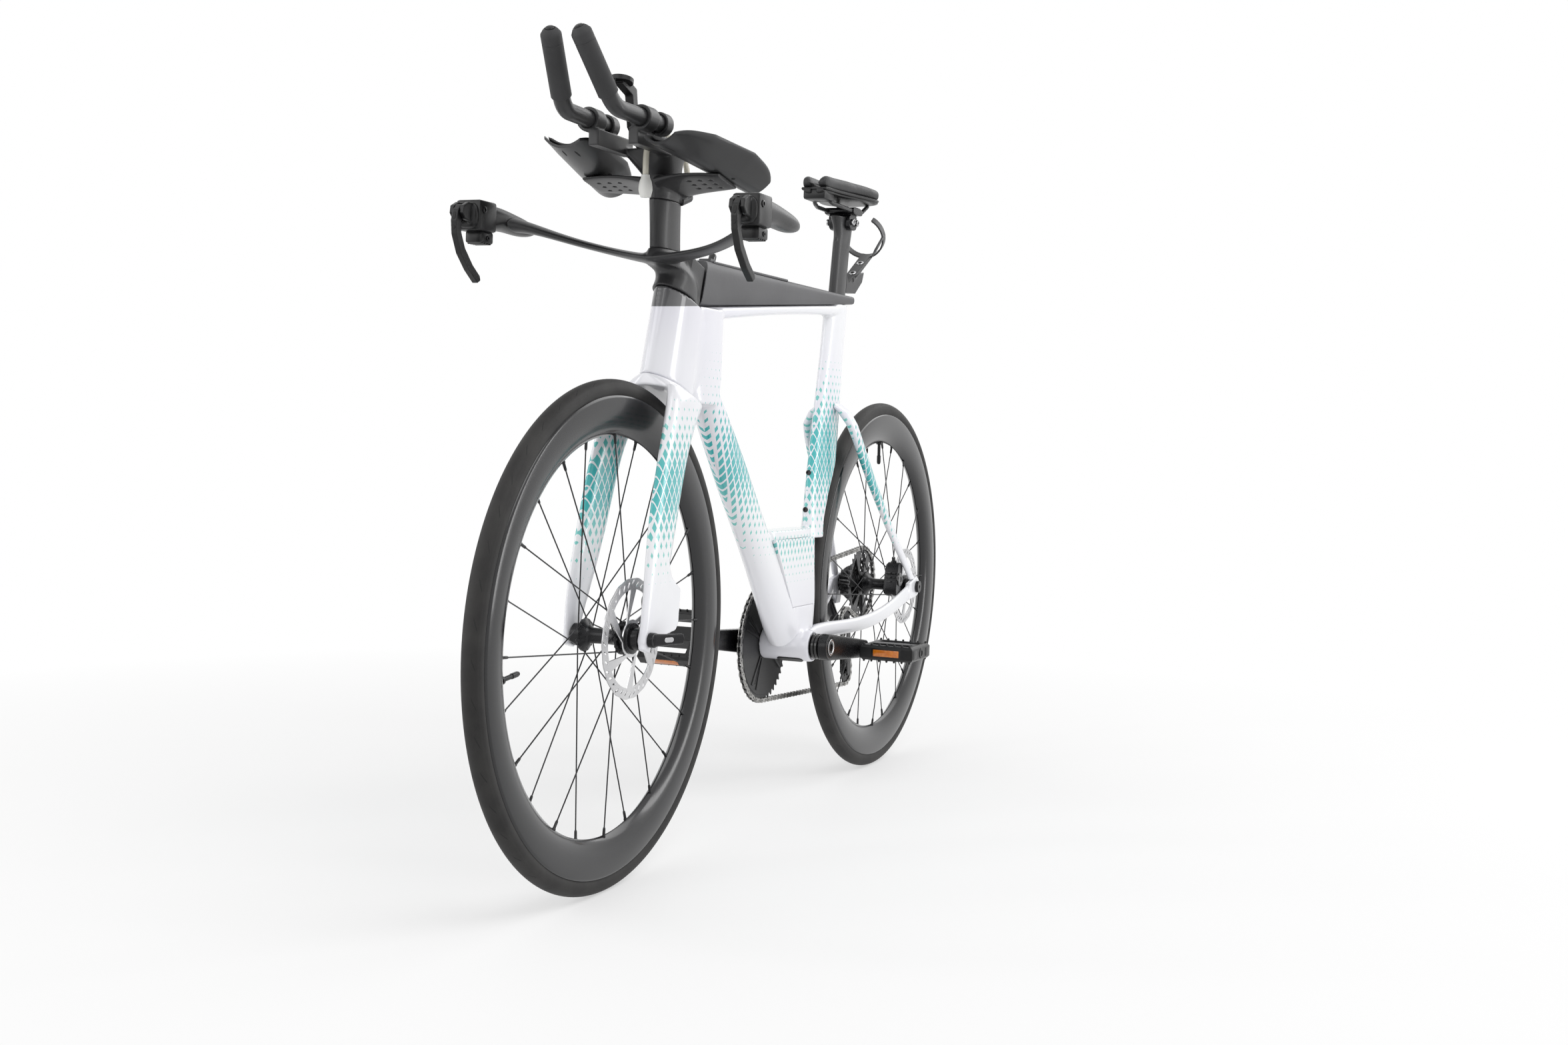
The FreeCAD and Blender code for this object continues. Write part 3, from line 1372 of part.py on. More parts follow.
def jockey(centre):
    wheel_disc = toothed_disc(centre, WHEEL_TEETH, chain_y - 0.9, chain_y + 0.9)
    hub = Part.makeCylinder(13, 2 * wheel_half, centre - Y * wheel_half, Y)
    bore = Part.makeCylinder(2.5 + float(shaft_gap), 40, centre - Y * 20, Y)
    return wheel_disc.fuse(hub).cut(bore)


feature("guide_wheel", jockey(guide_point))
feature("tension_wheel", jockey(tension_point))


def cage_plate(y_low, y_high, points, radius):
    """A plate with round ends through a row of points."""
    shape = None
    for start, end in zip(points, points[1:]):
        run = (end - start).normalize()
        side = Vector(-run.z, 0, run.x) * radius
        corners = [start + side, end + side, end - side, start - side]
        pieces = [prism([(p.x, p.z) for p in corners], y_low, y_high)]
        for point in (start, end):
            pieces.append(Part.makeCylinder(radius, y_high - y_low, Vector(point.x, y_low, point.z), Y))
        for piece in pieces:
            shape = shape.fuse(piece) if shape else piece
    return shape


inner_plate = cage_plate(chain_y + plate_gap, chain_y + plate_gap + 2, (guide_point, tension_point), 9)
outer_points = (cage_pivot, guide_point, tension_point)
outer_plate = cage_plate(chain_y - plate_gap - 2, chain_y - plate_gap, outer_points, 9)
cage_shape = inner_plate.fuse(outer_plate)
for point in (guide_point, tension_point):
    cage_shape = cage_shape.fuse(Part.makeCylinder(2.5, 2 * plate_gap + 4, point - Y * (plate_gap + 2), Y))
knuckle_face = chain_y - plate_gap - 2
cage_pin = Part.makeCylinder(5, 14, Vector(cage_pivot.x, knuckle_face - 12, cage_pivot.z), Y)
feature("derailleur_cage", cage_shape.fuse(cage_pin).removeSplitter())


def derailleur_body():
    """The mounting knuckle, the arm and the cage's knuckle."""
    outer = float(rear_half + dropout_thickness)
    mount = at_rear(8, -outer, -30)
    top = Part.makeCylinder(13, 16, mount - Y * 16, Y)
    face = knuckle_face - float(side_gap)
    low = Part.makeCylinder(16, 24, Vector(cage_pivot.x, face - 24, cage_pivot.z), Y)
    run = Vector(cage_pivot.x - mount.x, 0, cage_pivot.z - mount.z).normalize()
    side = Vector(-run.z, 0, run.x)
    halfway = Vector((mount.x + cage_pivot.x) / 2, -outer + 4, (mount.z + cage_pivot.z) / 2)
    arm = loft([
        rounded(Vector(mount.x, -outer - 8, mount.z), side, Y, 24, 15, 0.8, 0.8),
        rounded(halfway, side, Y, 34, 26, 0.8, 0.8),
        rounded(Vector(cage_pivot.x, face - 13, cage_pivot.z), side, Y, 28, 20, 0.8, 0.8),
    ])
    arm = arm.cut(Part.makeBox(90, 30, 90, at_rear(-30, -outer, -75)).cut(
        Part.makeBox(90, 30, 90, at_rear(24, -outer - 0.1, -75))))
    bore_depth = 12.2
    bore_foot = Vector(cage_pivot.x, knuckle_face - bore_depth, cage_pivot.z)
    bore = Part.makeCylinder(5 + float(shaft_gap), bore_depth, bore_foot, Y)
    return main_solid(top.fuse([arm, low]).cut(bore).cut(Part.makeCompound(chain_stay_shapes)))


feature("derailleur_body", derailleur_body())


# Chain

def chain_circles():
    """Each wheel that the chain goes round: centre, radius, turning sense and side position."""
    return (
        (bb_point, pitch_radius(CHAINRING_TEETH), 1, ring_y),
        (tension_point, pitch_radius(WHEEL_TEETH), 1, chain_y),
        (guide_point, pitch_radius(WHEEL_TEETH), -1, chain_y),
        (rear_axle_point, pitch_radius(COG_TEETH[0]), 1, chain_y),
    )


def tangent(first, second):
    """Where the chain leaves one wheel and meets the next."""
    (a, a_radius, a_sense, a_side), (b, b_radius, b_sense, b_side) = first, second
    apart = Vector(b.x - a.x, 0, b.z - a.z)
    slope = math.atan2(apart.z, apart.x)
    angle = slope - math.asin((a_sense * a_radius - b_sense * b_radius) / apart.Length)
    normal = Vector(-math.sin(angle), 0, math.cos(angle))
    leave = Vector(a.x, a_side, a.z) + normal * (a_sense * a_radius)
    meet = Vector(b.x, b_side, b.z) + normal * (b_sense * b_radius)
    return leave, meet, normal


def chain_plates(offset):
    """One row of the chain's plates, as a band along its whole loop."""
    tall = float(chain_height) / 2
    thick = float(plate_thickness)
    circles = chain_circles()
    count = len(circles)
    legs = [tangent(circles[index], circles[(index + 1) % count]) for index in range(count)]
    solids = []
    for index, (centre, radius, sense, side) in enumerate(circles):
        leave, meet, normal = legs[index]
        ends = []
        for point in (leave, meet):
            corners = [point + normal * tall + Y * offset, point + normal * tall + Y * (offset + thick),
                       point - normal * tall + Y * (offset + thick), point - normal * tall + Y * offset]
            ends.append(Part.makePolygon(corners + corners[:1]))
        solids.append(loft(ends, True))
        arrive = legs[index - 1][1] - Vector(centre.x, side, centre.z)
        depart = leave - Vector(centre.x, side, centre.z)
        start, end = (depart, arrive) if sense > 0 else (arrive, depart)
        sweep = math.degrees(math.atan2(end.z, end.x) - math.atan2(start.z, start.x)) % 360
        base = Vector(centre.x, side + offset, centre.z)
        facing = Vector(start.x, 0, start.z).normalize()
        sector = Part.makeCylinder(radius + tall, thick, Vector(), Z, sweep)
        hole = Part.makeCylinder(radius - tall, thick, Vector(), Z)
        band = sector.cut(hole)
        band.Placement = Placement(base + Y * thick, Rotation(facing, Y * -1, Y * -1, "ZXY"))
        solids.append(band)
    shape = solids[0]
    for solid in solids[1:]:
        shape = shape.fuse(solid)
    return main_solid(shape)


left_plates = chain_plates(float(plate_inset))
right_plates = chain_plates(-float(plate_inset + plate_thickness))
feature("chain", Part.makeCompound([left_plates, right_plates]))


# Seat post, saddle and bottle cage

def post_point(forward, side, up):
    """A point beside the post, from the middle of its top."""
    post_top = bb_point - X * float(seat_setback) + seat_up * (post_crest / math.cos(seat_lean))
    return post_top + Vector(forward, side, up)


def seat_post():
    shaft = loft([post_section(post_foot, 0), post_section(post_crest - 46, 0)])
    head = loft([
        post_section(post_crest - 46, 0),
        rounded(post_point(3, 0, -22), X, Y, float(post_depth) + 6, float(post_width) + 1, 0.6, 0.7),
        rounded(post_point(8, 0, 0), X, Y, float(post_depth) + 22, float(post_width) + 5, 0.7, 0.7),
    ])
    return shaft.fuse(head).removeSplitter()


clamp_centre = post_point(0, 0, 11)
saddle_base = 30
rail_points = [
    post_point(116, 9, saddle_base - 4), post_point(98, float(rail_spread) - 7, 13),
    post_point(68, float(rail_spread), 11), post_point(-26, float(rail_spread), 11),
    post_point(-46, float(rail_spread) + 5, saddle_base - 4),
]
left_rail = pipe(path(rail_points, [22, 30, 24]), rail_points, float(rail_radius))
rails = [left_rail, mirrored(left_rail)]
feature("seatpost", seat_post())
both_sides("saddle_rails", left_rail)


def saddle_clamp():
    cradle = loft([
        rounded(clamp_centre + Y * -27, X, Z, 46, 13, 0.8, 0.8),
        rounded(clamp_centre + Y * 27, X, Z, 46, 13, 0.8, 0.8),
    ])
    side_y = float(post_width) / 2 + 9
    pieces = []
    for side in SIDES:
        cheek = Part.Face(rounded(post_point(2, 0, -7), X, Z, 38, 28, 0.75, 0.75))
        pieces.append(cheek.extrude(Y * (side * side_y)))
        for forward in (-8, 12):
            pieces.append(Part.makeCylinder(5, 4, post_point(forward, side * side_y, -8), Y * side))
    return main_solid(cradle.fuse(pieces).cut(rails).cut(seat_post()))


feature("saddle_clamp", saddle_clamp())

saddle_nose = post_point(144, 0, saddle_base)
saddle_outline = ((0.0, 0.34), (0.06, 0.43), (0.25, 0.5), (0.5, 0.72), (0.75, 0.97), (0.9, 1.0), (1.0, 0.62))


def saddle_section(share, wide, low, high, square):
    run = float(saddle_length)
    centre = saddle_nose - X * (run * share) + Z * ((low + high) / 2)
    return rounded(centre, Z, Y, high - low, float(saddle_width) * wide, square, 0.8)


def saddle_slot(length, floor):
    """The split that runs back from the nose."""
    return Part.makeBox(length, 10, 200, saddle_nose + Vector(-length + 20, -5, floor))


def saddle_shell():
    sections = []
    for share, wide in saddle_outline:
        sections.append(saddle_section(share, wide * 0.92, -3 - 3 * (1 - share), 2.5, 0.8))
    shell = loft(sections).cut(saddle_slot(0.4 * float(saddle_length), -60))
    return main_solid(shell.cut(rails))


def saddle_pad():
    """The cushion: a crowned top, sides drawn in to the shell, a channel along its middle."""
    thick = float(saddle_thickness)
    crest = (0.55, 0.95, 1.0, 0.92, 0.92, 0.9, 0.5)
    low = 2.5 + float(side_gap)
    sections = []
    for (share, wide), tall in zip(saddle_outline, crest):
        sections.append(saddle_section(share, wide, low, low + thick * tall, 0.62))
    cushion = loft(sections).cut(saddle_slot(0.46 * float(saddle_length), -60))
    channel_start = saddle_nose + Vector(-20, 0, low + thick + 7)
    channel = Part.makeCylinder(16, float(saddle_length) * 0.5, channel_start, X * -1)
    return main_solid(cushion.cut(channel))


feature("saddle_shell", saddle_shell())
feature("saddle_pad", saddle_pad())

post_socket = on_seat(0, 0, seat_crest)
cage_foot = post_socket + Vector(-60, 0, 46)
cage_slope = math.radians(30)
cage_up = Vector(-math.cos(cage_slope), 0, math.sin(cage_slope))
cage_out = Vector(math.sin(cage_slope), 0, math.cos(cage_slope))
bottle_axis = cage_foot + cage_out * (float(bottle_radius) + 4)


def bottle_cage():
    """The bracket on the post, the cage's spine, its band and its two arms."""
    radius = float(bottle_radius)
    wall = float(cage_wall)
    offsets = ((-26, 23), (-75, 25), (-108, 48), (-116, 66), (-96, 62), (-60, 44), (-46, 68), (-26, 68))
    bracket = prism([(post_socket.x + x, post_socket.z + z) for x, z in offsets], -8, 8)
    turn = Placement(cage_foot, Rotation(cage_up, Y, cage_out, "XZY"))
    spine = Part.makeBox(108, 20, 7, Vector(0, -10, -2))
    spine.Placement = turn
    band_start = bottle_axis + cage_up * 92
    band = Part.makeCylinder(radius + wall, float(cage_band), band_start, cage_up)
    mouth = Part.makeBox(90, 44, 90, Vector(-45, -22, 0))
    mouth.Placement = Placement(band_start, Rotation(cage_up, Y, cage_out, "XZY"))
    arms = []
    for side in SIDES:
        points = [cage_foot + cage_up * 6 + Y * (side * 6),
                  bottle_axis + Y * (side * (radius + 2.4)) + cage_up * 40 - cage_out * 6,
                  bottle_axis + Y * (side * (radius + 1.4)) + cage_up * 98]
        arms.append(pipe(path(points, [40]), points, 2.6))
    room = Part.makeCylinder(radius, 240, bottle_axis - cage_up * 20, cage_up)
    shape = band.cut(mouth).fuse([bracket, spine] + arms).cut(room)
    return main_solid(shape.cut(seat_post()))


feature("bottle_cage", bottle_cage())


# Check and write

doc.recompute()
for thing in doc.Objects:
    if "Invalid" in thing.State or "Error" in thing.State:
        raise RuntimeError(f"{thing.Label}: {thing.State}")
for thing in sub_parts:
    if thing.Shape.isNull() or not thing.Shape.isValid() or not thing.Shape.Solids:
        raise RuntimeError(f"{thing.Label}: shape is not a valid solid")

os.makedirs("parts", exist_ok=True)
for thing in sub_parts:
    thing.Shape.exportStep(f"parts/{thing.Label}.step")
print(len(sub_parts), "sub-parts written")
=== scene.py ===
import json
import math

import bmesh
import bpy
import numpy as np
from mathutils import Matrix, Vector


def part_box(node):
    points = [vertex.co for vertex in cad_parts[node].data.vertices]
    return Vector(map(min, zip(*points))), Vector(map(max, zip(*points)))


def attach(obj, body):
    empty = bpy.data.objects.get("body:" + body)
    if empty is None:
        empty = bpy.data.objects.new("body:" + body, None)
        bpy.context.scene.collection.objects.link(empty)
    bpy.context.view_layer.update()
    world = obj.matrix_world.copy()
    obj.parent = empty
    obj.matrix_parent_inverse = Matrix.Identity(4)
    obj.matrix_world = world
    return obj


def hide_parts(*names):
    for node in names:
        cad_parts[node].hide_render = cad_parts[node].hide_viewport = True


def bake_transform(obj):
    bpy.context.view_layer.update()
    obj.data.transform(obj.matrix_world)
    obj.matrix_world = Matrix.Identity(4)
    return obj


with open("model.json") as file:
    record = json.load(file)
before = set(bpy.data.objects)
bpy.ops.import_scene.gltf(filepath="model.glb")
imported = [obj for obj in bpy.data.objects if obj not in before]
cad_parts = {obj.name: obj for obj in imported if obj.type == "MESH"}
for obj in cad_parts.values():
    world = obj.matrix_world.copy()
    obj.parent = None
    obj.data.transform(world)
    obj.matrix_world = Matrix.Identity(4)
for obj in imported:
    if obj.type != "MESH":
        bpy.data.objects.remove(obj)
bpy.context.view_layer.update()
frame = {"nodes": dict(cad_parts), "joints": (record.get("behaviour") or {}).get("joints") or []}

# The looks of a time trial bike, in the frame's metres: +X forward, +Y the rider's left, +Z up.
# Sizes are in millimetres, as the frame's own are, and turn into metres where points are made.

SCENE = bpy.context.scene
MM = 0.001
X = Vector((1, 0, 0))
Y = Vector((0, 1, 0))
Z = Vector((0, 0, 1))
LEFT, RIGHT = 1, -1
SIDES = (LEFT, RIGHT)
JOINTS = {joint["name"]: joint for joint in frame["joints"]}


def mm(x, y, z):
    return Vector((x, y, z)) * MM


def pivot(joint):
    return Vector(JOINTS[joint]["pos_m"])


def named(side):
    return "left" if side == LEFT else "right"


# Reference points: up the steering axis, behind the bracket, above it, and above the top of the head

HEAD_TOP = 488
SEAT_SETBACK = 72
POST_CREST = 722
DECK = 192

FRONT_AXLE = pivot("front_wheel_spin")
REAR_AXLE = pivot("rear_wheel_spin")
BRACKET = pivot("crank_spin")
STEER_BASE = pivot("steering_turn")
STEER_UP = Vector(JOINTS["steering_turn"]["axis"]).normalized()
SEAT_UP = Vector(JOINTS["seat_height"]["axis"]).normalized()
STEM = STEER_BASE + STEER_UP * (HEAD_TOP * MM)
POST_TOP = BRACKET - X * (SEAT_SETBACK * MM) + SEAT_UP * (POST_CREST * MM / SEAT_UP.z)
POST_TOP.y = 0


def at_stem(forward, side, up):
    """A point of the cockpit, from the top of the head tube."""
    return STEM + mm(forward, side, up)


# Camera

CAMERA_PLACE = Vector((2.55270, 1.08096, 0.60828))
CAMERA_LOOK = Vector((-0.923277, -0.380968, -0.049231))
CAMERA_ROLL = math.radians(1.858)
CAMERA_LENS = 40.07
SENSOR_WIDTH = 36


def make_camera():
    data = bpy.data.cameras.new("camera")
    data.sensor_fit = "HORIZONTAL"
    data.sensor_width = SENSOR_WIDTH
    data.lens = CAMERA_LENS
    camera = bpy.data.objects.new("camera", data)
    SCENE.collection.objects.link(camera)
    look = CAMERA_LOOK.normalized()
    level = look.cross(Z).normalized()
    upright = level.cross(look)
    right = level * math.cos(CAMERA_ROLL) + upright * math.sin(CAMERA_ROLL)
    up = upright * math.cos(CAMERA_ROLL) - level * math.sin(CAMERA_ROLL)
    turn = Matrix((right, up, -look)).transposed()
    camera.matrix_world = Matrix.Translation(CAMERA_PLACE) @ turn.to_4x4()
    SCENE.camera = camera


make_camera()


# Materials

def rgb(red, green, blue):
    """A screen colour, 0 to 255, as the linear values that a shader takes."""
    return tuple((level / 255) ** 2.2 for level in (red, green, blue)) + (1.0,)


COAT_ROUGH = 0.08


class Nodes:
    """A node tree, built up socket by socket."""

    def __init__(self, tree):
        self.nodes = tree.nodes
        self.links = tree.links

    def node(self, kind, inputs=(), **settings):
        made = self.nodes.new(kind)
        for name, value in settings.items():
            setattr(made, name, value)
        for name, value in dict(inputs).items():
            self.feed(made.inputs[name], value)
        return made

    def feed(self, socket, value):
        if isinstance(value, bpy.types.NodeSocket):
            self.links.new(value, socket)
        else:
            socket.default_value = value

    def calc(self, operation, first, second=0.0):
        return self.node("ShaderNodeMath", {0: first, 1: second}, operation=operation).outputs[0]

    def times(self, first, second):
        return self.calc("MULTIPLY", first, second)

    def minus(self, first, second):
        return self.calc("SUBTRACT", first, second)

    def size(self, value):
        return self.calc("ABSOLUTE", value)

    def span(self, value, low, high, to_low=0.0, to_high=1.0):
        inputs = {0: value, 1: low, 2: high, 3: to_low, 4: to_high}
        return self.node("ShaderNodeMapRange", inputs).outputs[0]

    def seen_directly(self):
        """1 for what the camera, a reflection or clear plastic shows, 0 for the light on other things."""
        paths = self.node("ShaderNodeLightPath").outputs
        seen = paths["Is Camera Ray"]
        for name in ("Is Glossy Ray", "Is Transmission Ray"):
            seen = self.calc("MAXIMUM", seen, paths[name])
        return seen


class Look(Nodes):
    """One material on the standard shader."""

    def __init__(self, name, metallic=0.0, coat=0.0, specular=0.5):
        self.material = bpy.data.materials.new(name)
        self.material.use_nodes = True
        super().__init__(self.material.node_tree)
        self.shader = self.nodes["Principled BSDF"]
        self.shader.inputs["Metallic"].default_value = metallic
        self.shader.inputs["Coat Weight"].default_value = coat
        self.shader.inputs["Coat Roughness"].default_value = COAT_ROUGH
        self.shader.inputs["Specular IOR Level"].default_value = specular
        self.place = self.node("ShaderNodeTexCoord").outputs["Object"]

    def noise(self, scale, detail=3.0, stretch=(1, 1, 1)):
        spread = self.node("ShaderNodeMapping", {"Vector": self.place, "Scale": stretch})
        inputs = {"Vector": spread.outputs[0], "Scale": scale, "Detail": detail}
        return self.node("ShaderNodeTexNoise", inputs).outputs["Fac"]

    def cells(self, scale):
        inputs = {"Vector": self.place, "Scale": scale}
        return self.node("ShaderNodeTexVoronoi", inputs).outputs["Distance"]

    def mix(self, factor, first, second):
        blend = self.node("ShaderNodeMix", data_type="RGBA")
        for socket, value in ((blend.inputs[0], factor), (blend.inputs[6], first), (blend.inputs[7], second)):
            self.feed(socket, value)
        return blend.outputs[2]

    def axes(self):
        return self.node("ShaderNodeSeparateXYZ", {0: self.place}).outputs

    def colour(self, value):
        self.feed(self.shader.inputs["Base Color"], value)

    def rough(self, value):
        self.feed(self.shader.inputs["Roughness"], value)

    def relief(self, height, strength, depth=0.0004):
        bump = self.node("ShaderNodeBump", {"Strength": strength, "Distance": depth, "Height": height})
        self.links.new(bump.outputs[0], self.shader.inputs["Normal"])


def surface(name, dark, light, rough, drift=9.0, grain=900.0, relief=0.08, stretch=(1, 1, 1), **shader):
    """A finish whose colour and gloss drift softly over a fine grain."""
    look = Look(name, **shader)
    clouds = look.span(look.noise(drift, 4.0), 0.3, 0.7)
    look.colour(look.mix(clouds, rgb(*dark), rgb(*light)))
    fine = look.noise(grain, 2.0, stretch)
    look.rough(look.span(fine, 0.3, 0.7, rough - 0.06, rough + 0.06))
    look.relief(fine, relief)
    return look.material


TEAL = rgb(62, 178, 180)
MINT = rgb(150, 216, 203)
PEARL = rgb(238, 239, 242)
LILAC = rgb(232, 231, 240)
COVER_GREY = rgb(80, 80, 82)
JOINT_START = (370.7 * MM, 783.4 * MM)
JOINT_RISE = 59.2 / 692.7
JOINT_BLUR = 0.0004
PAINT_ROUGH = 0.26
COVER_ROUGH = 0.42
DIAMOND_PITCH = 0.0145
DIAMOND_SQUAT = 0.6
DIAMOND_LARGEST = 0.86
BAND_FADE = 0.42
TREAD_CUTS = 46
TREAD_SLANT = 70.0


def from_diamond(look, x, y, z):
    """How far a point is from the middle of its diamond, 0 to 1, on a net that leans in with the sides."""
    sideways = look.minus(x, look.times(look.size(y), 0.5))
    upward = look.times(z, DIAMOND_SQUAT)
    offsets = []
    for operation in ("ADD", "SUBTRACT"):
        steps = look.calc("DIVIDE", look.calc(operation, sideways, upward), DIAMOND_PITCH)
        offsets.append(look.size(look.minus(look.calc("FRACT", steps), 0.5)))
    return look.times(look.calc("MAXIMUM", *offsets), 2.0)


def paint(name, band=None, above_joint=False):
    """Pearl white, with a band of teal diamonds that shrink towards its ends; a band is low, high, front."""
    look = Look(name, coat=0.7)
    x, y, z = look.axes()
    colour = look.mix(look.span(look.noise(3.2, 2.0), 0.35, 0.7), PEARL, LILAC)
    if band:
        low, high, front = band
        fade = (high - low) * BAND_FADE
        ends = look.times(look.span(z, low, low + fade), look.span(z, high, high - fade))
        size = look.times(ends, look.span(x, front, front - fade, 0.0, DIAMOND_LARGEST))
        inside = look.span(look.minus(size, from_diamond(look, x, y, z)), -0.02, 0.03)
        colour = look.mix(inside, colour, look.mix(ends, MINT, TEAL))
    rough = PAINT_ROUGH
    if above_joint:
        start_x, start_z = JOINT_START
        line = look.calc("ADD", z, look.times(look.minus(x, start_x), JOINT_RISE))
        covered = look.span(line, start_z - JOINT_BLUR, start_z + JOINT_BLUR)
        colour = look.mix(covered, colour, COVER_GREY)
        rough = look.span(covered, 0.0, 1.0, PAINT_ROUGH, COVER_ROUGH)
    look.colour(colour)
    look.rough(rough)
    look.relief(look.noise(240.0, 2.0), 0.02)
    return look.material


def tread(name, axle):
    """Slick rubber with short cuts along its shoulders."""
    look = Look(name, specular=0.35)
    x, y, z = look.axes()
    turn = look.calc("ARCTAN2", look.minus(z, axle.z), look.minus(x, axle.x))
    side = look.size(y)
    lead = look.calc("ADD", look.times(turn, TREAD_CUTS / math.tau), look.times(side, TREAD_SLANT))
    cut = look.size(look.minus(look.calc("FRACT", lead), 0.5))
    shoulder = look.times(look.span(side, 0.0052, 0.0056), look.span(side, 0.0098, 0.0094))
    groove = look.times(look.span(cut, 0.05, 0.03), shoulder)
    worn = look.mix(look.span(look.noise(26.0, 5.0), 0.35, 0.7), rgb(36, 35, 35), rgb(50, 49, 48))
    # Darker in the cuts: painted shade inside them, over the rubber's own random tone.
    look.colour(look.mix(groove, worn, rgb(30, 30, 30)))
    grain = look.noise(1300.0, 2.0)
    look.rough(look.span(grain, 0.3, 0.7, 0.56, 0.7))
    look.relief(look.minus(look.times(grain, 0.15), groove), 0.5)
    return look.material


def grained(name, dark, light, rough, scale, relief):
    """Covering with a pebbled or knitted grain of its own size."""
    look = Look(name, specular=0.4)
    cell = look.cells(scale)
    worn = look.span(look.noise(14.0, 4.0), 0.3, 0.7)
    shade = look.mix(worn, rgb(*dark), rgb(*light))
    # Darker towards the middle of each cell, where the grain's pits are: painted shade in the pits.
    look.colour(look.mix(look.span(cell, 0.0, 0.6, 0.35, 0.0), shade, rgb(20, 20, 21)))
    look.rough(look.span(cell, 0.0, 0.7, rough - 0.08, rough + 0.08))
    look.relief(cell, relief)
    return look.material


def milky(name, tint, rough, clear):
    """Cloudy silicone or tubing that lets light through."""
    look = Look(name)
    clouds = look.span(look.noise(60.0, 3.0), 0.3, 0.7)
    look.colour(look.mix(clouds, rgb(*tint), rgb(*(level + 8 for level in tint))))
    look.rough(look.span(look.noise(300.0), 0.3, 0.7, rough - 0.05, rough + 0.05))
    look.shader.inputs["Transmission Weight"].default_value = clear
    look.shader.inputs["Subsurface Weight"].default_value = 0.3
    look.shader.inputs["Subsurface Radius"].default_value = (0.004, 0.004, 0.0035)
    return look.material


CARBON = surface("satin_carbon", (44, 44, 45), (56, 56, 57), 0.38, stretch=(1, 6, 1), coat=0.1, specular=0.35)
COVER = surface("cover_carbon", (74, 74, 76), (86, 86, 88), 0.44, stretch=(5, 1, 1), specular=0.4)
PLASTIC = surface("moulded_plastic", (22, 22, 23), (32, 32, 33), 0.34, relief=0.15, specular=0.35)
GRIP = surface("grip_rubber", (52, 52, 53), (66, 66, 67), 0.62, grain=1600.0, relief=0.3, specular=0.3)
RIM = surface("rim_carbon", (24, 24, 26), (36, 36, 38), 0.2, drift=5.0, relief=0.02, coat=0.25, specular=0.4)
ALLOY = surface("black_anodised", (22, 22, 24), (34, 34, 36), 0.26, metallic=0.4)
STEEL = surface("brushed_steel", (176, 176, 178), (208, 208, 209), 0.26, metallic=1.0, stretch=(1, 1, 9))
CHAIN = surface("chain_steel", (140, 139, 137), (182, 181, 178), 0.3, drift=160.0, metallic=1.0)
GLOSSY = surface("gloss_black", (18, 18, 19), (26, 26, 27), 0.16, relief=0.02, coat=0.4, specular=0.4)
CASSETTE = surface("dark_cogs", (52, 52, 53), (96, 96, 97), 0.3, drift=120.0, metallic=0.8)
RING = surface("ring_anodised", (40, 40, 41), (56, 56, 57), 0.38, metallic=0.3)
SPOKE = surface("black_spoke", (34, 34, 36), (48, 48, 50), 0.34, metallic=0.3)
DARK = surface("shadow_gap", (12, 12, 13), (20, 20, 21), 0.7)
REFLECTOR = surface("amber_reflector", (190, 98, 14), (214, 124, 24), 0.2, drift=300.0, relief=0.5, coat=0.8)
FOAM = grained("pad_cloth", (40, 40, 41), (56, 56, 57), 0.82, 900.0, 0.5)
SADDLE = grained("saddle_cover", (36, 36, 37), (48, 48, 49), 0.42, 1500.0, 0.18)
HOSE = milky("clear_hose", (226, 222, 208), 0.2, 0.35)
VALVE = milky("silicone_valve", (232, 232, 228), 0.4, 0.15)
FRAME_PAINT = paint("frame_paint", (0.40, 0.76, 0.33), above_joint=True)
FORK_PAINT = paint("fork_paint", (0.40, 0.67, 0.9))
STAY_PAINT = paint("stay_paint", (0.40, 0.68, 0.9))
PLAIN_PAINT = paint("plain_paint")
HATCH_PAINT = paint("hatch_paint", (0.36, 0.62, 0.33))
FRONT_TREAD = tread("front_tread", FRONT_AXLE)
REAR_TREAD = tread("rear_tread", REAR_AXLE)


# Mesh making

def show(name, mesh, body, look, replaces=(), sharp=35):
    """Puts a finished mesh in the scene, riding on its body, or on none if it will bend between two."""
    mesh.materials.clear()
    mesh.materials.append(look)
    mesh.shade_smooth()
    mesh.set_sharp_from_angle(angle=math.radians(sharp))
    thing = bpy.data.objects.new(name, mesh)
    SCENE.collection.objects.link(thing)
    if body:
        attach(thing, body)
    if replaces:
        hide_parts(*replaces)
    return thing


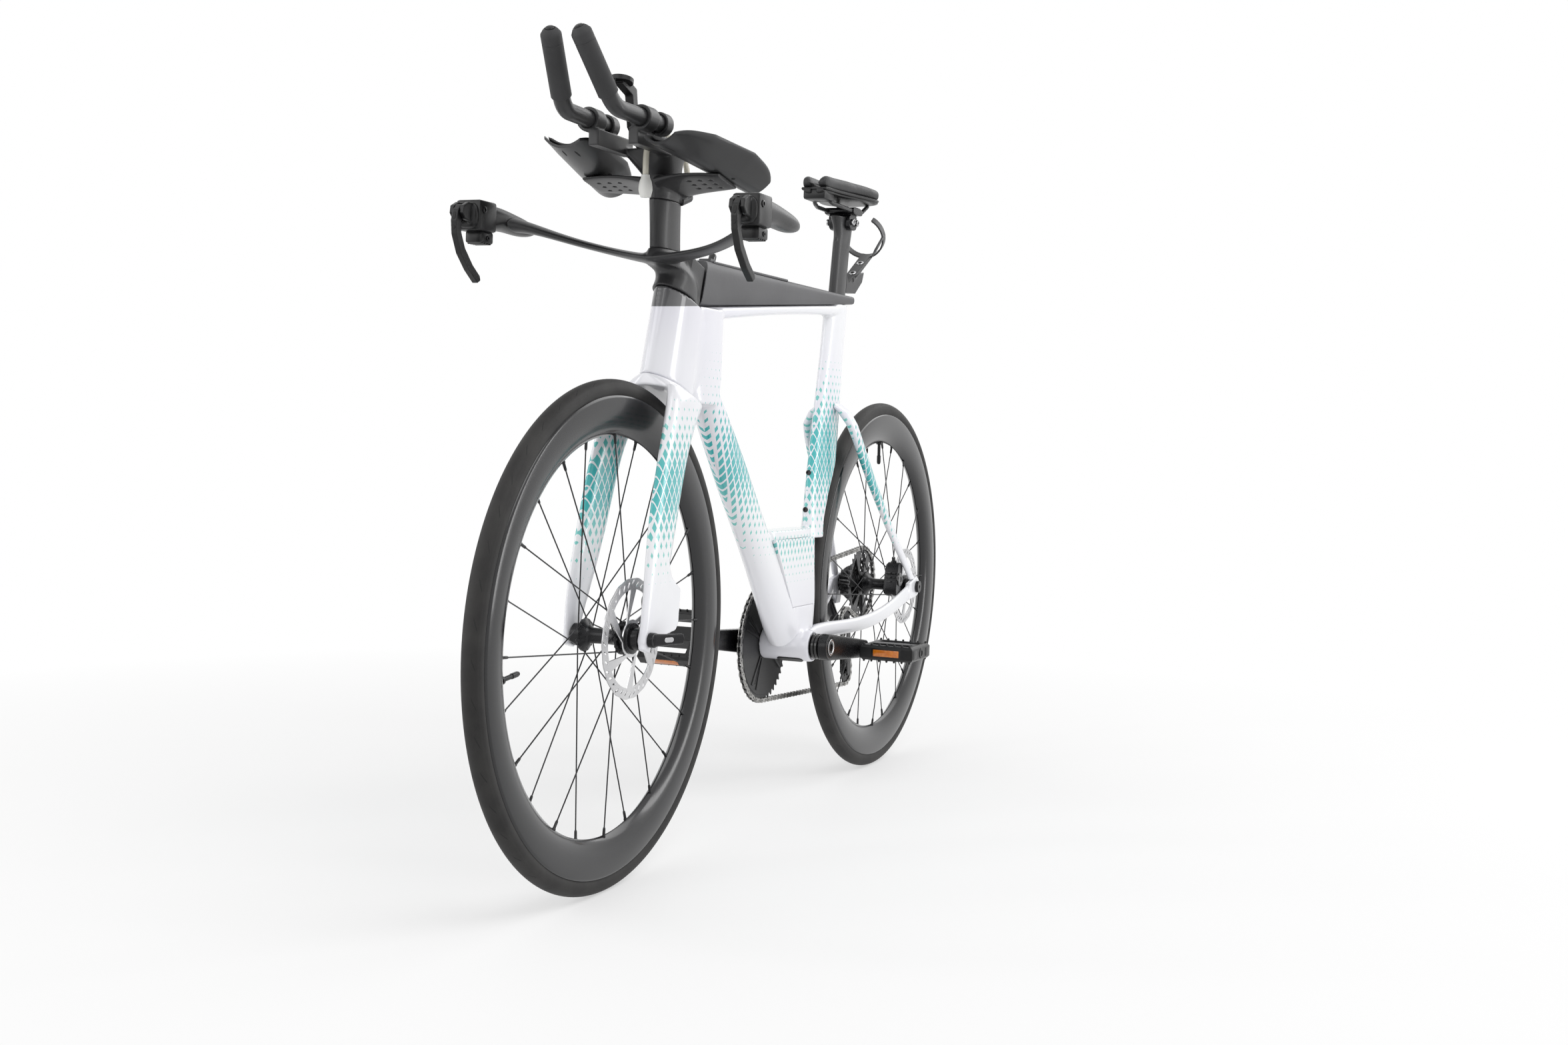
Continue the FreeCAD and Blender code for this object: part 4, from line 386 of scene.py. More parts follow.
class Shape:
    """Gathers the points and faces of one piece from simple forms."""

    def __init__(self):
        self.points = []
        self.faces = []

    def add(self, points, faces):
        base = len(self.points)
        self.points += [tuple(point) for point in points]
        self.faces += [[base + index for index in face] for face in faces]
        return self

    def skin(self, rings, closed=False):
        """A skin over rings of points; closed joins the last ring to the first."""
        count = len(rings[0])
        total = len(rings)
        faces = []
        for ring in range(total if closed else total - 1):
            low, high = ring * count, (ring + 1) % total * count
            for step in range(count):
                after = (step + 1) % count
                faces.append((low + step, low + after, high + after, high + step))
        if not closed:
            faces.append(tuple(reversed(range(count))))
            faces.append(tuple(range((total - 1) * count, total * count)))
        return self.add([point for ring in rings for point in ring], faces)

    def turned(self, centre, axis, profile, steps=48, closed=False):
        """A profile of (radius, along), turned about an axis."""
        axis = axis.normalized()
        side = axis.orthogonal().normalized()
        other = axis.cross(side)
        rings = [hoop(centre + axis * (along * MM), side, other, radius, steps) for radius, along in profile]
        return self.skin(rings, closed)

    def tube(self, points, radii, sides=12):
        """A round tube through points, with one radius or one for each point."""
        if not isinstance(radii, (list, tuple)):
            radii = [radii] * len(points)
        side = (points[1] - points[0]).orthogonal().normalized()
        rings = []
        for index, point in enumerate(points):
            run = (points[min(index + 1, len(points) - 1)] - points[max(index - 1, 0)]).normalized()
            side = (side - run * side.dot(run)).normalized()
            rings.append(hoop(point, side, run.cross(side), radii[index], sides))
        return self.skin(rings)

    def block(self, centre, axes, extent, edge):
        """A box with rounded edges, turned to three axes."""
        solid = bmesh.new()
        bmesh.ops.create_cube(solid, size=1.0)
        scale = Matrix.Diagonal([side * MM for side in extent])
        place = Matrix(axes).transposed()
        for vertex in solid.verts:
            vertex.co = scale @ vertex.co
        bmesh.ops.bevel(solid, geom=solid.edges[:], offset=edge * MM, segments=2, profile=0.5, affect="EDGES")
        solid.verts.index_update()
        faces = [[vertex.index for vertex in face.verts] for face in solid.faces]
        self.add([centre + place @ vertex.co for vertex in solid.verts], faces)
        solid.free()
        return self

    def bolt(self, centre, axis, radius, head=3.0):
        """A cap screw's head with its socket."""
        socket, floor = radius * 0.52, head * 0.35
        profile = [(radius, 0), (radius, head * 0.8), (radius * 0.88, head), (socket, head), (socket, floor),
                   (0.02, floor)]
        return self.turned(centre, axis, profile, 20)

    def screwed(self, piece, start, direction, radius, head, sunk=0.6):
        """A cap screw let into a finished piece, where a line meets it."""
        place, normal = on_skin(piece, start, direction)
        return self.bolt(place - normal * (sunk * MM), normal, radius, head)

    def plate(self, loops, thickness, place, edge=0.2):
        """A flat plate: loops of (u, v), the first its outline and the rest its holes."""
        curve = bpy.data.curves.new("outline", "CURVE")
        curve.dimensions = "2D"
        curve.fill_mode = "BOTH"
        curve.extrude = (thickness / 2 - edge) * MM
        curve.bevel_depth = edge * MM
        curve.bevel_resolution = 0
        curve.offset = -edge * MM
        for loop in loops:
            spline = curve.splines.new("POLY")
            spline.points.add(len(loop) - 1)
            for point, (u, v) in zip(spline.points, loop):
                point.co = (u * MM, v * MM, 0, 1)
            spline.use_cyclic_u = True
        holder = bpy.data.objects.new("outline", curve)
        mesh = bpy.data.meshes.new_from_object(holder)
        faces = [list(face.vertices) for face in mesh.polygons]
        self.add([place @ vertex.co for vertex in mesh.vertices], faces)
        bpy.data.objects.remove(holder)
        bpy.data.curves.remove(curve)
        bpy.data.meshes.remove(mesh)
        return self

    def mirrored(self):
        """Adds the same forms on the other side of the bike."""
        flipped = [(x, -y, z) for x, y, z in self.points]
        return self.add(flipped, [list(reversed(face)) for face in self.faces])

    def piece(self, name, body, slot, look, replaces=(), sharp=35):
        mesh = bpy.data.meshes.new(name)
        mesh.from_pydata(self.points, [], self.faces)
        solid = bmesh.new()
        solid.from_mesh(mesh)
        bmesh.ops.remove_doubles(solid, verts=solid.verts, dist=1e-6)
        bmesh.ops.recalc_face_normals(solid, faces=solid.faces)
        solid.to_mesh(mesh)
        solid.free()
        return show(name, mesh, body, look, replaces, sharp)


def turns(steps, start=0.0):
    return [start + math.tau * index / steps for index in range(steps)]


def hoop(middle, side, other, radius, steps):
    """Points round a circle in the plane of two directions."""
    return [middle + (side * math.cos(turn) + other * math.sin(turn)) * (radius * MM) for turn in turns(steps)]


def polar(radius, turn):
    return radius * math.cos(turn), radius * math.sin(turn)


def outward(turn):
    """The way out from an axle, at a turn up from straight ahead."""
    return X * math.cos(turn) + Z * math.sin(turn)


def across(centre, y=0.0):
    """Lays a plate square to the bike's width: u forward, v up."""
    place = Matrix(((1, 0, 0), (0, 0, -1), (0, 1, 0))).to_4x4()
    return Matrix.Translation(Vector((centre.x, y * MM, centre.z))) @ place


def circle(radius, steps=32, u=0.0, v=0.0):
    return [(u + radius * math.cos(turn), v + radius * math.sin(turn)) for turn in turns(steps)]


def capsule(u, v, length, width, slope, steps=6):
    """A slot's outline, its long way at a slope."""
    half = (length - width) / 2
    points = []
    for end, start in ((1, -math.pi / 2), (-1, math.pi / 2)):
        for index in range(steps + 1):
            turn = start + math.pi * index / steps
            points.append((end * half + width / 2 * math.cos(turn), width / 2 * math.sin(turn)))
    cos, sin = math.cos(slope), math.sin(slope)
    return [(u + a * cos - b * sin, v + a * sin + b * cos) for a, b in points]


def sector(inner, outer, start, end, sweep=0.0, steps=6):
    """A window between two arms, whose outer end is swept round."""
    points = []
    for radius, first, last in ((inner, start, end), (outer, end + sweep, start + sweep)):
        for index in range(steps + 1):
            turn = first + (last - first) * index / steps
            points.append(polar(radius, turn))
    return points


def facing(place, normal, upright=Z):
    """Lays a plate on a surface: v as near upright as the surface allows."""
    across_plate = upright.cross(normal).normalized()
    turn = Matrix((across_plate, normal.cross(across_plate), normal)).transposed()
    return Matrix.Translation(place) @ turn.to_4x4()


def on_skin(piece, start, direction):
    """Where a line first meets a finished piece, and the way its surface faces there."""
    hit, place, normal, _ = piece.ray_cast(start, direction)
    if not hit:
        raise RuntimeError(f"nothing to sit on: {piece.name} from {tuple(start)}")
    return place, normal


def gathered(things, name, count):
    values = np.empty(len(things) * count)
    things.foreach_get(name, values)
    return values.reshape(-1, count)


def remeshed(mesh, voxel):
    """Solids as one even skin, for rounding."""
    source = bpy.data.objects.new("source", mesh)
    SCENE.collection.objects.link(source)
    weld = source.modifiers.new("weld", "WELD")
    weld.merge_threshold = 1e-6
    remesh = source.modifiers.new("remesh", "REMESH")
    remesh.mode = "VOXEL"
    remesh.voxel_size = voxel * MM
    mesh = bpy.data.meshes.new_from_object(source.evaluated_get(bpy.context.evaluated_depsgraph_get()))
    bpy.data.objects.remove(source)
    return mesh


def relax(mesh, rounds, fillet=0, hold=None):
    """Fills hollow corners with fillets, then eases every edge; hold is a share of movement by place."""
    count = len(mesh.vertices)
    points = gathered(mesh.vertices, "co", 3)
    first, second = gathered(mesh.edges, "vertices", 2).astype(int).T
    degree = (np.bincount(first, minlength=count) + np.bincount(second, minlength=count))[:, None]
    share = 0.5 if hold is None else 0.5 * hold(points)[:, None]

    def eased(places):
        total = [np.bincount(first, there, count) + np.bincount(second, here, count)
                 for here, there in zip(places[first].T, places[second].T)]
        return places + share * (np.stack(total, 1) / degree - places)

    if fillet:
        normals = gathered(mesh.vertices, "normal", 3)
        filled = points.copy()
        for _ in range(fillet):
            filled = eased(filled)
        lift = ((filled - points) * normals).sum(1, keepdims=True)
        points += normals * np.maximum(lift, 0)
    for _ in range(rounds):
        points = eased(points)
    mesh.vertices.foreach_set("co", points.ravel())
    mesh.update()


def softened(node, name, body, look, voxel, rounds, fillet=0, hold=None):
    """A node's form with moulded edges and filleted corners, in place of the node."""
    mesh = remeshed(frame["nodes"][node].data.copy(), voxel)
    relax(mesh, rounds, fillet, hold)
    return show(name, mesh, body, look, (node,), 180)


def dress(node, look):
    """A node that stays, with a finish of its own."""
    mesh = frame["nodes"][node].data
    mesh.materials.clear()
    mesh.materials.append(look)


# Drinking hose, a free cord from its socket on the bridge to its bite valve

HOSE_SIDE = 15
HOSE_RADIUS = 4
HOSE_ROUTE = ((12, 150), (16, 176), (33, 200), (60, 213), (90, 217), (121, 214), (141, 194), (144, 170),
              (143, 152))
BITE_VALVE = [
    (4.1, -3), (5.4, -2.6), (5.8, 0), (6.2, 2), (8.0, 6), (8.6, 9), (9.1, 13), (9.2, 17), (8.8, 20), (7.6, 24),
    (6.8, 26.2), (6.0, 27), (4.6, 27), (4.3, 26.4), (4.0, 24), (3.4, 20), (0.02, 19.6),
]


def drink_hose():
    route = [at_stem(forward, HOSE_SIDE, up) for forward, up in HOSE_ROUTE]
    curve = bpy.data.curves.new("hose_line", "CURVE")
    curve.dimensions = "3D"
    curve.bevel_depth = HOSE_RADIUS * MM
    curve.bevel_resolution = 5
    curve.resolution_u = 16
    curve.use_fill_caps = True
    curve.materials.append(HOSE)
    spline = curve.splines.new("NURBS")
    spline.points.add(len(route) - 1)
    for point, place in zip(spline.points, route):
        point.co = (*place, 1)
    spline.order_u = 3
    spline.use_endpoint_u = True
    hose = bpy.data.objects.new("drink_hose_tube", curve)
    SCENE.collection.objects.link(hose)
    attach(hose, "steering")
    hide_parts("drink_hose")
    bite_valve = Shape().turned(route[-1], route[-1] - route[-2], BITE_VALVE, 40).piece(
        "bite_valve_moulding", "steering", "valve_rubber", VALVE, ("bite_valve",), 60)


drink_hose()


# Mouldings: forms whose solids are right, with their edges and corners eased

CRISP_MARGIN = 6
SOCKET_DEPTH = 31
SOCKET_WIDTH = 13.5


def kept_crisp(points):
    """No easing at the hatch's opening or in the post's socket, so that both keep their size."""
    low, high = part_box("storage_hatch")
    margin = CRISP_MARGIN * MM
    x, y, z = points.T
    opening = ((x > low[0] - margin) & (x < high[0] + margin) & (y > 0)
               & (z > low[2] - margin) & (z < high[2] + margin))
    ahead = (points - np.array(POST_TOP)) @ np.array(Y.cross(SEAT_UP))
    socket = ((np.abs(ahead) < SOCKET_DEPTH * MM) & (np.abs(y) < SOCKET_WIDTH * MM)
              & (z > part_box("seatpost")[0][2] - margin))
    return np.where(opening | socket, 0.0, 1.0)


def mouldings():
    """Each row: node, body, slot, look, voxel, rounds of easing and rounds of filling."""
    pieces = {}
    pieces["main_frame"] = softened("main_frame", "frame_moulding", "frame", FRAME_PAINT,
                                    1.8, 5, 240, kept_crisp)
    for node, body, slot, look, voxel, rounds, fillet in (
        ("storage_hatch", "hatch", "frame_paint", HATCH_PAINT, 0.8, 2, 0),
        ("chain_stays", "frame", "frame_paint", PLAIN_PAINT, 1.4, 6, 80),
        ("seat_stays", "frame", "frame_paint", STAY_PAINT, 1.4, 8, 30),
        ("fork", "steering", "frame_paint", FORK_PAINT, 1.5, 6, 160),
        ("top_tube_cover", "frame", "carbon", COVER, 1.2, 2, 0),
        ("storage_lid", "lid", "carbon", COVER, 0.7, 2, 0),
        ("base_bar", "steering", "carbon", CARBON, 1.1, 5, 120),
        ("riser", "steering", "carbon", CARBON, 1.1, 3, 0),
        ("extension_bridge", "steering", "carbon", CARBON, 1.0, 3, 40),
        ("computer_mount", "steering", "black_plastic", PLASTIC, 0.7, 3, 10),
        ("lever_hoods", "steering", "black_plastic", PLASTIC, 0.8, 5, 40),
        ("left_brake_lever", "left_lever", "carbon", PLASTIC, 0.6, 8, 0),
        ("right_brake_lever", "right_lever", "carbon", PLASTIC, 0.6, 8, 0),
        ("front_caliper", "steering", "black_alloy", ALLOY, 0.7, 3, 0),
        ("rear_caliper", "frame", "black_alloy", ALLOY, 0.7, 3, 0),
        ("front_axle", "steering", "black_alloy", ALLOY, 0.6, 4, 10),
        ("rear_axle", "frame", "black_alloy", ALLOY, 0.6, 2, 0),
        ("right_crank", "crank", "black_alloy", ALLOY, 1.0, 5, 30),
        ("left_crank", "crank", "black_alloy", ALLOY, 0.9, 5, 30),
        ("pedal_axles", "crank", "steel", STEEL, 0.6, 2, 0),
        ("left_pedal", "left_pedal", "black_plastic", PLASTIC, 0.9, 2, 0),
        ("right_pedal", "right_pedal", "black_plastic", PLASTIC, 0.9, 2, 0),
        ("derailleur_body", "frame", "black_alloy", ALLOY, 0.8, 5, 20),
        ("derailleur_cage", "cage", "black_alloy", ALLOY, 0.5, 2, 0),
        ("seatpost", "seat", "carbon", CARBON, 1.2, 4, 60),
        ("saddle_clamp", "seat", "black_alloy", ALLOY, 0.7, 3, 0),
        ("saddle_rails", "seat", "black_alloy", CARBON, 0.8, 3, 0),
        ("saddle_shell", "seat", "black_plastic", PLASTIC, 1.0, 3, 0),
        ("bottle_cage", "seat", "carbon", CARBON, 0.7, 4, 20),
    ):
        pieces[node] = softened(node, node + "_moulding", body, look, voxel, rounds, fillet)
    for node in ("headset_bearings", "bb_bearings", "front_hub_bearings", "rear_hub_bearings"):
        dress(node, STEEL)
    return pieces


MOULDED = mouldings()


# Wheels

TYRE_RADIUS = 338
TYRE_WIDTH = 27
RIM_RADIUS = 316.5
RIM_BED = 264.5
FLANGE = 22
SPOKES_PER_SIDE = 12
SPOKE_CROSSES = 2
SPOKE_RADIUS = 0.95
SPOKE_HEAD = [(1.2, 0), (1.7, 0.4), (1.7, 5), (1.2, 5.6)]
NIPPLE = [(2.6, 0), (2.6, 3), (2.0, 4), (1.9, 12), (1.5, 14), (1.1, 14.4)]
ROTOR_INSET = 15.4
ROTOR_BAND = 15
ROTOR_BORE = 17.2
ROTOR_THICK = 1.8
ROTOR_SPIDER = 25
ROTOR_ARMS = 6
ROTOR_SWEEP = 0.55
ROTOR_SLOTS = 36
ROTOR_SLOT = (9.6, 3.0)
ROTOR_LEAN = 0.75
ROTOR_SCALLOPS = 18


def both_halves(half):
    """A profile given on one side, completed on the other."""
    return half + [(radius, -side) for radius, side in reversed(half)]


def tyre_half():
    """Tread, a small step at its edge, the sidewall and the bead, then back inside the casing."""
    tube = TYRE_WIDTH / 2
    middle = TYRE_RADIUS - tube
    stations = [(tube, turn) for turn in range(3, 62, 6)]
    stations += [(tube - 0.35, turn) for turn in range(62, 128, 8)]
    half = [(middle + radius * math.cos(math.radians(turn)), radius * math.sin(math.radians(turn)))
            for radius, turn in stations]
    half += [(RIM_RADIUS - 1.6, 10.2), (RIM_RADIUS - 1.4, 8.2), (RIM_RADIUS + 4, 9.4)]
    inner = tube - 2.5
    half += [(middle + inner * math.cos(math.radians(turn)), inner * math.sin(math.radians(turn)))
             for turn in range(90, 5, -14)]
    return half


RIM_HALF = [
    (RIM_RADIUS - 3, 8.6), (RIM_RADIUS + 0.2, 9.6), (RIM_RADIUS + 0.8, 11.2), (RIM_RADIUS - 0.4, 12.6),
    (RIM_RADIUS - 3, 13.1), (RIM_RADIUS - 8, 13.7), (RIM_RADIUS - 15, 14.0), (RIM_RADIUS - 23, 13.7),
    (RIM_RADIUS - 31, 12.6), (RIM_RADIUS - 38, 10.8), (RIM_RADIUS - 43.5, 8.4), (RIM_RADIUS - 47.6, 5.6),
    (RIM_RADIUS - 50.6, 3.0), (RIM_BED, 0.6), (RIM_BED + 2.4, 0.6), (RIM_BED + 8, 5), (RIM_BED + 18, 9.4),
    (RIM_BED + 34, 11.8), (RIM_BED + 44, 10.6), (RIM_BED + 46, 6),
]


def hub_profile(left, right, left_end, right_end, rotor_face):
    """End caps, two flanges, a waisted shell and the rotor's seat."""
    return [
        (9, -right_end), (14, -right_end), (15, 1 - right_end), (15, -right - 4), (18, -right - 3),
        (FLANGE - 1, -right - 2), (FLANGE, -right - 1), (FLANGE, 1.2 - right), (FLANGE - 2, 2.6 - right),
        (14, 6 - right), (10.6, 11 - right), (10, 0), (10.6, left - 11), (14, left - 6),
        (FLANGE - 2, left - 2.6), (FLANGE, left - 1.2), (FLANGE, left + 1), (FLANGE - 1, left + 2),
        (17, left + 2.6), (17, rotor_face), (20, rotor_face), (20.4, rotor_face + 0.6),
        (20.4, rotor_face + 2.4), (19.6, rotor_face + 3), (15, rotor_face + 3.2), (15, left_end - 1),
        (14, left_end), (9, left_end), (7.6, left_end - 2), (7.6, 2 - right_end),
    ]


def spoke_point(axle, radius, side, turn):
    return axle + outward(turn) * (radius * MM) + Y * (side * MM)


def spoke_set(name, body, axle, flanges):
    """Crossed spokes with their heads in the flanges, and the nipples at the rim."""
    wires, nipples = Shape(), Shape()
    pitch = math.tau / SPOKES_PER_SIDE
    for side, flange in zip(SIDES, flanges):
        for index in range(SPOKES_PER_SIDE):
            turn = (index + (0 if side == LEFT else 0.5)) * pitch
            sweep = SPOKE_CROSSES * pitch * (1 if index % 2 else -1)
            foot = spoke_point(axle, FLANGE - 2, side * flange, turn + sweep)
            end = spoke_point(axle, RIM_BED + 1, side * 2, turn)
            run = (foot - end).normalized()
            wires.tube([foot, foot + (end - foot) * 0.08, end - (end - foot) * 0.08, end], SPOKE_RADIUS, 8)
            wires.turned(foot - Y * (side * 2.6 * MM), Y * side, SPOKE_HEAD, 10)
            nipples.turned(end - run * (2 * MM), run, NIPPLE, 12)
    wires.piece(f"{name}_spoke_set", body, "spoke_steel", SPOKE, (f"{name}_spokes",))
    nipples.piece(f"{name}_nipples", body, "spoke_steel", ALLOY)


def valve_profile():
    """A tyre valve: its nut, a threaded stem and the cap."""
    thread = []
    for ridge in range(9):
        thread += [(2.7, 5 + ridge * 2), (3.0, 6 + ridge * 2)]
    return [(5.4, -1), (5.4, 2.6), (4.4, 3.2), (3.1, 3.4)] + thread + [
        (2.7, 23.5), (3.6, 24), (3.6, 36), (2.8, 39), (1.6, 40), (0.02, 40)]


def rotor(name, body, axle, side, radius):
    """A brake disc: a slotted band on swept arms."""
    band = radius - ROTOR_BAND
    edge = []
    for turn in turns(180):
        edge.append(polar(radius - 0.5 + 0.5 * math.cos(ROTOR_SCALLOPS * turn), turn))
    loops = [edge, circle(ROTOR_BORE, 40)]
    step = math.tau / ROTOR_ARMS
    for start in turns(ROTOR_ARMS):
        loops.append(sector(ROTOR_SPIDER, band, start + 0.12, start + step - 0.12, ROTOR_SWEEP))
    for turn in turns(ROTOR_SLOTS):
        reach = band + 7.6 + 1.6 * math.cos(12 * turn)
        loops.append(capsule(*polar(reach, turn), *ROTOR_SLOT, turn + ROTOR_LEAN, 4))
    disc = Shape().plate(loops, ROTOR_THICK, across(axle, side), 0.15)
    disc.piece(f"{name}_rotor_disc", body, "steel", STEEL, (f"{name}_rotor",), 30)


def wheel(name, axle, tread_look, flanges, half_width, right_end, rotor_radius, valve_turn):
    """A whole wheel; flanges are the distances of the left and right ones from the middle."""
    body = f"{name}_wheel"
    rotor_y = half_width - ROTOR_INSET
    hub = hub_profile(*flanges, half_width - 0.3, right_end, rotor_y + 0.9)
    for node, form, profile, steps, slot, look, sharp in (
        ("tyre", "tyre_casing", both_halves(tyre_half()), 192, "tyre_rubber", tread_look, 50),
        ("rim", "rim_section", both_halves(RIM_HALF), 192, "rim_carbon", RIM, 60),
        ("hub", "hub_shell", hub, 64, "black_alloy", ALLOY, 40),
    ):
        section = Shape().turned(axle, Y, profile, steps, True)
        section.piece(f"{name}_{form}", body, slot, look, (f"{name}_{node}",), sharp)
    spoke_set(name, body, axle, flanges)
    rotor(name, body, axle, rotor_y, rotor_radius)
    out = outward(math.radians(valve_turn))
    valve = Shape().turned(axle + out * (RIM_BED * MM), -out, valve_profile(), 18)
    valve.piece(f"{name}_valve_stem", body, "black_alloy", ALLOY, (f"{name}_valve",))


wheel("front", FRONT_AXLE, FRONT_TREAD, flanges=(22, 34), half_width=50, right_end=49.7, rotor_radius=80,
      valve_turn=-6)
wheel("rear", REAR_AXLE, REAR_TREAD, flanges=(34, 19), half_width=71, right_end=27, rotor_radius=70,
      valve_turn=88)


# Drive

CHAIN_PITCH = 12.7
RING_TEETH = 48
RING_BORE = 24
RING_THICK = 1.8
RING_ARMS = 4
RING_LEAN = 0.5
WEB_THICK = 3.4
WEB_SLOT = (34, 5)
RIB_SPREAD = 0.13
RIB_SHARE = 0.62
COG_TEETH = (33, 28, 24, 21, 19, 17, 16, 15, 14, 13, 12, 11)
COG_PITCH = 3.3
COG_THICK = 1.7
COG_BORE = 17
COG_HUB = 21
COG_WINDOWS = 6
TOOTH_RIM = 9
WHEEL_TEETH = 12
RING_SIDE = -45.6
COG_SIDE = -29.5
TOOTH = ((-0.36, -4.2), (-0.24, -2.0), (-0.09, 2.2), (0.09, 2.2), (0.24, -2.0), (0.36, -4.2))
FREEHUB = [(7, 27.4), (16.5, 27.4), (17, 28), (17, 68), (16, 69.6), (13, 70.4), (7, 70.4)]
WHEEL_BUSH = [(2.6, 0.5), (6.5, 0.5), (6.5, 1.9), (6, 2.0), (2.6, 2.0)]
ROLLER = [(1.2, 0), (1.8, 0.3), (1.8, 1.6), (3.8, 1.7), (3.8, 5.5), (1.8, 5.6), (1.8, 6.9), (1.2, 7.2)]
ROLLER_HALF = 3.6
LINK_END = 4.0
LINK_WAIST = 3.0
PLATE_HALF = 0.45
PLATE_OFFSETS = (2.1, 2.95)
ARC_STEPS = 40
LEAVES_RING = ARC_STEPS
MEETS_CAGE = ARC_STEPS + 1
LEAVES_CAGE = 3 * ARC_STEPS + 2


def pitch_radius(teeth):
    return CHAIN_PITCH / (2 * math.sin(math.pi / teeth))


def toothed(teeth):
    """A sprocket's outline, with hooked roots between narrow tips."""
    pitch = pitch_radius(teeth)
    points = []
    for index in range(teeth):
        for offset, lift in TOOTH:
            turn = math.tau * (index + offset) / teeth
            points.append(polar(pitch + lift, turn))
    return points


def cassette():
    """Twelve cogs, the large ones with windows, on their freehub."""
    stack = Shape()
    step = math.tau / COG_WINDOWS
    for index, teeth in enumerate(COG_TEETH):
        loops = [toothed(teeth), circle(COG_BORE, 32)]
        outer = pitch_radius(teeth) - TOOTH_RIM
        if outer > COG_HUB + 3:
            loops += [sector(COG_HUB, outer, start + 0.12, start + step - 0.22, 0.16, 4)
                      for start in turns(COG_WINDOWS, index * 0.2)]
        stack.plate(loops, COG_THICK, across(REAR_AXLE, COG_SIDE - index * COG_PITCH), 0.2)
    stack.piece("cassette_cogs", "cassette", "chain_steel", CASSETTE, ("cassette",), 30)
    Shape().turned(REAR_AXLE, -Y, FREEHUB, 48, True).piece("freehub_core", "cassette", "black_alloy", ALLOY)


def chainring():
    """A toothed rim on a closed disc, with pairs of ribs on its inner face."""
    web = pitch_radius(RING_TEETH) - TOOTH_RIM
    place, bore = across(BRACKET, RING_SIDE), circle(RING_BORE, 40)
    arms = turns(RING_ARMS, RING_LEAN)
    ring = Shape().plate([toothed(RING_TEETH), bore], RING_THICK, place, 0.25)
    slots = [capsule(*polar(web * 0.66, arm), *WEB_SLOT, arm, 6) for arm in arms]
    ring.plate([circle(web, 96), bore] + slots, WEB_THICK, place, 0.5)
    rib = web * RIB_SHARE
    for arm in arms:
        for run in (outward(arm - RIB_SPREAD), outward(arm + RIB_SPREAD)):
            centre = BRACKET + run * (rib * MM) + Y * ((RING_SIDE + 2.2) * MM)
            ring.block(centre, (run, Y, run.cross(Y)), (rib, 2.4, 4.2), 0.8)
    ring.piece("chainring_disc", "crank", "black_alloy", RING, ("chainring",), 30)


def jockey(name):
    """A wheel of the cage, with six slots and a bush on each face."""
    centre = pivot(name + "_spin")
    centre = Vector((centre.x, COG_SIDE * MM, centre.z))
    holes = [capsule(*polar(9.5, turn), 5, 3, turn) for turn in turns(6)]
    disc = Shape().plate([toothed(WHEEL_TEETH), circle(3, 20)] + holes, 2.2, across(centre, COG_SIDE), 0.2)
    for face in SIDES:
        disc.turned(centre, Y * face, WHEEL_BUSH, 24, True)
    disc.piece(f"{name}_disc", name, "black_plastic", PLASTIC, (name,), 30)


def chain_line(tension, guide):
    """The pins' places round the loop: each wheel's arc, then the straight run to the next."""
    wheels = [(Vector((centre.x, side * MM, centre.z)), pitch_radius(teeth) * MM, sense)
              for centre, teeth, sense, side in (
                  (BRACKET, RING_TEETH, 1, RING_SIDE), (tension, WHEEL_TEETH, 1, COG_SIDE),
                  (guide, WHEEL_TEETH, -1, COG_SIDE), (REAR_AXLE, COG_TEETH[0], 1, COG_SIDE))]
    legs = []
    for (a, a_radius, a_sense), (b, b_radius, b_sense) in zip(wheels, wheels[1:] + wheels[:1]):
        apart = Vector((b.x - a.x, 0, b.z - a.z))
        slope = math.atan2(apart.z, apart.x)
        angle = slope - math.asin((a_sense * a_radius - b_sense * b_radius) / apart.length)
        normal = Vector((-math.sin(angle), 0, math.cos(angle)))
        legs.append((a + normal * (a_sense * a_radius), b + normal * (b_sense * b_radius)))
    line = []
    for index, (centre, radius, sense) in enumerate(wheels):
        arrive, depart = legs[index - 1][1], legs[index][0]
        start = math.atan2(arrive.z - centre.z, arrive.x - centre.x)
        end = math.atan2(depart.z - centre.z, depart.x - centre.x)
        sweep = -sense * ((-sense * (end - start)) % math.tau)
        for step in range(ARC_STEPS + 1):
            turn = start + sweep * step / ARC_STEPS
            line.append(centre + outward(turn) * radius)
    return line


def evenly(line, pitch):
    """An even number of points along a closed line, about a pitch apart, each with its place in the line."""
    places = np.array([tuple(point) for point in line + line[:1]])
    gaps = np.linalg.norm(np.diff(places, axis=0), axis=1)
    along = np.concatenate([[0], np.cumsum(gaps)])
    count = 2 * round(along[-1] / pitch / 2)
    targets = np.arange(count) * along[-1] / count
    points = [Vector([np.interp(target, along, places[:, axis]) for axis in range(3)]) for target in targets]
    return points, np.interp(targets, along, np.arange(len(along)))


def within(mark, start, end):
    """Whether a place in a closed line lies on a stretch, which may run past the line's end."""
    return start <= mark < end if start < end else not end <= mark < start


def link_outline(length):
    """A chain plate: two round ends and a waist."""
    points = []
    for end, start in ((1, -100), (-1, 80)):
        for index in range(9):
            turn = math.radians(start + 200 * index / 8)
            u, v = polar(LINK_END, turn)
            points.append((end * length / 2 + u, v))
        points.append((0, LINK_WAIST * end))
    return points


def add_link(plates, pin, after, offset):
    """The two plates from one pin to the next."""
    run = after - pin
    along = run.normalized()
    up = along.cross(Y).normalized()
    side = up.cross(along)
    for face in SIDES:
        place = Matrix((along, up, side)).transposed().to_4x4()
        place.translation = (pin + after) / 2 + side * (face * offset * MM)
        plates.skin([[place @ mm(u, v, level) for u, v in link_outline(run.length / MM)]
                     for level in (-PLATE_HALF, PLATE_HALF)])


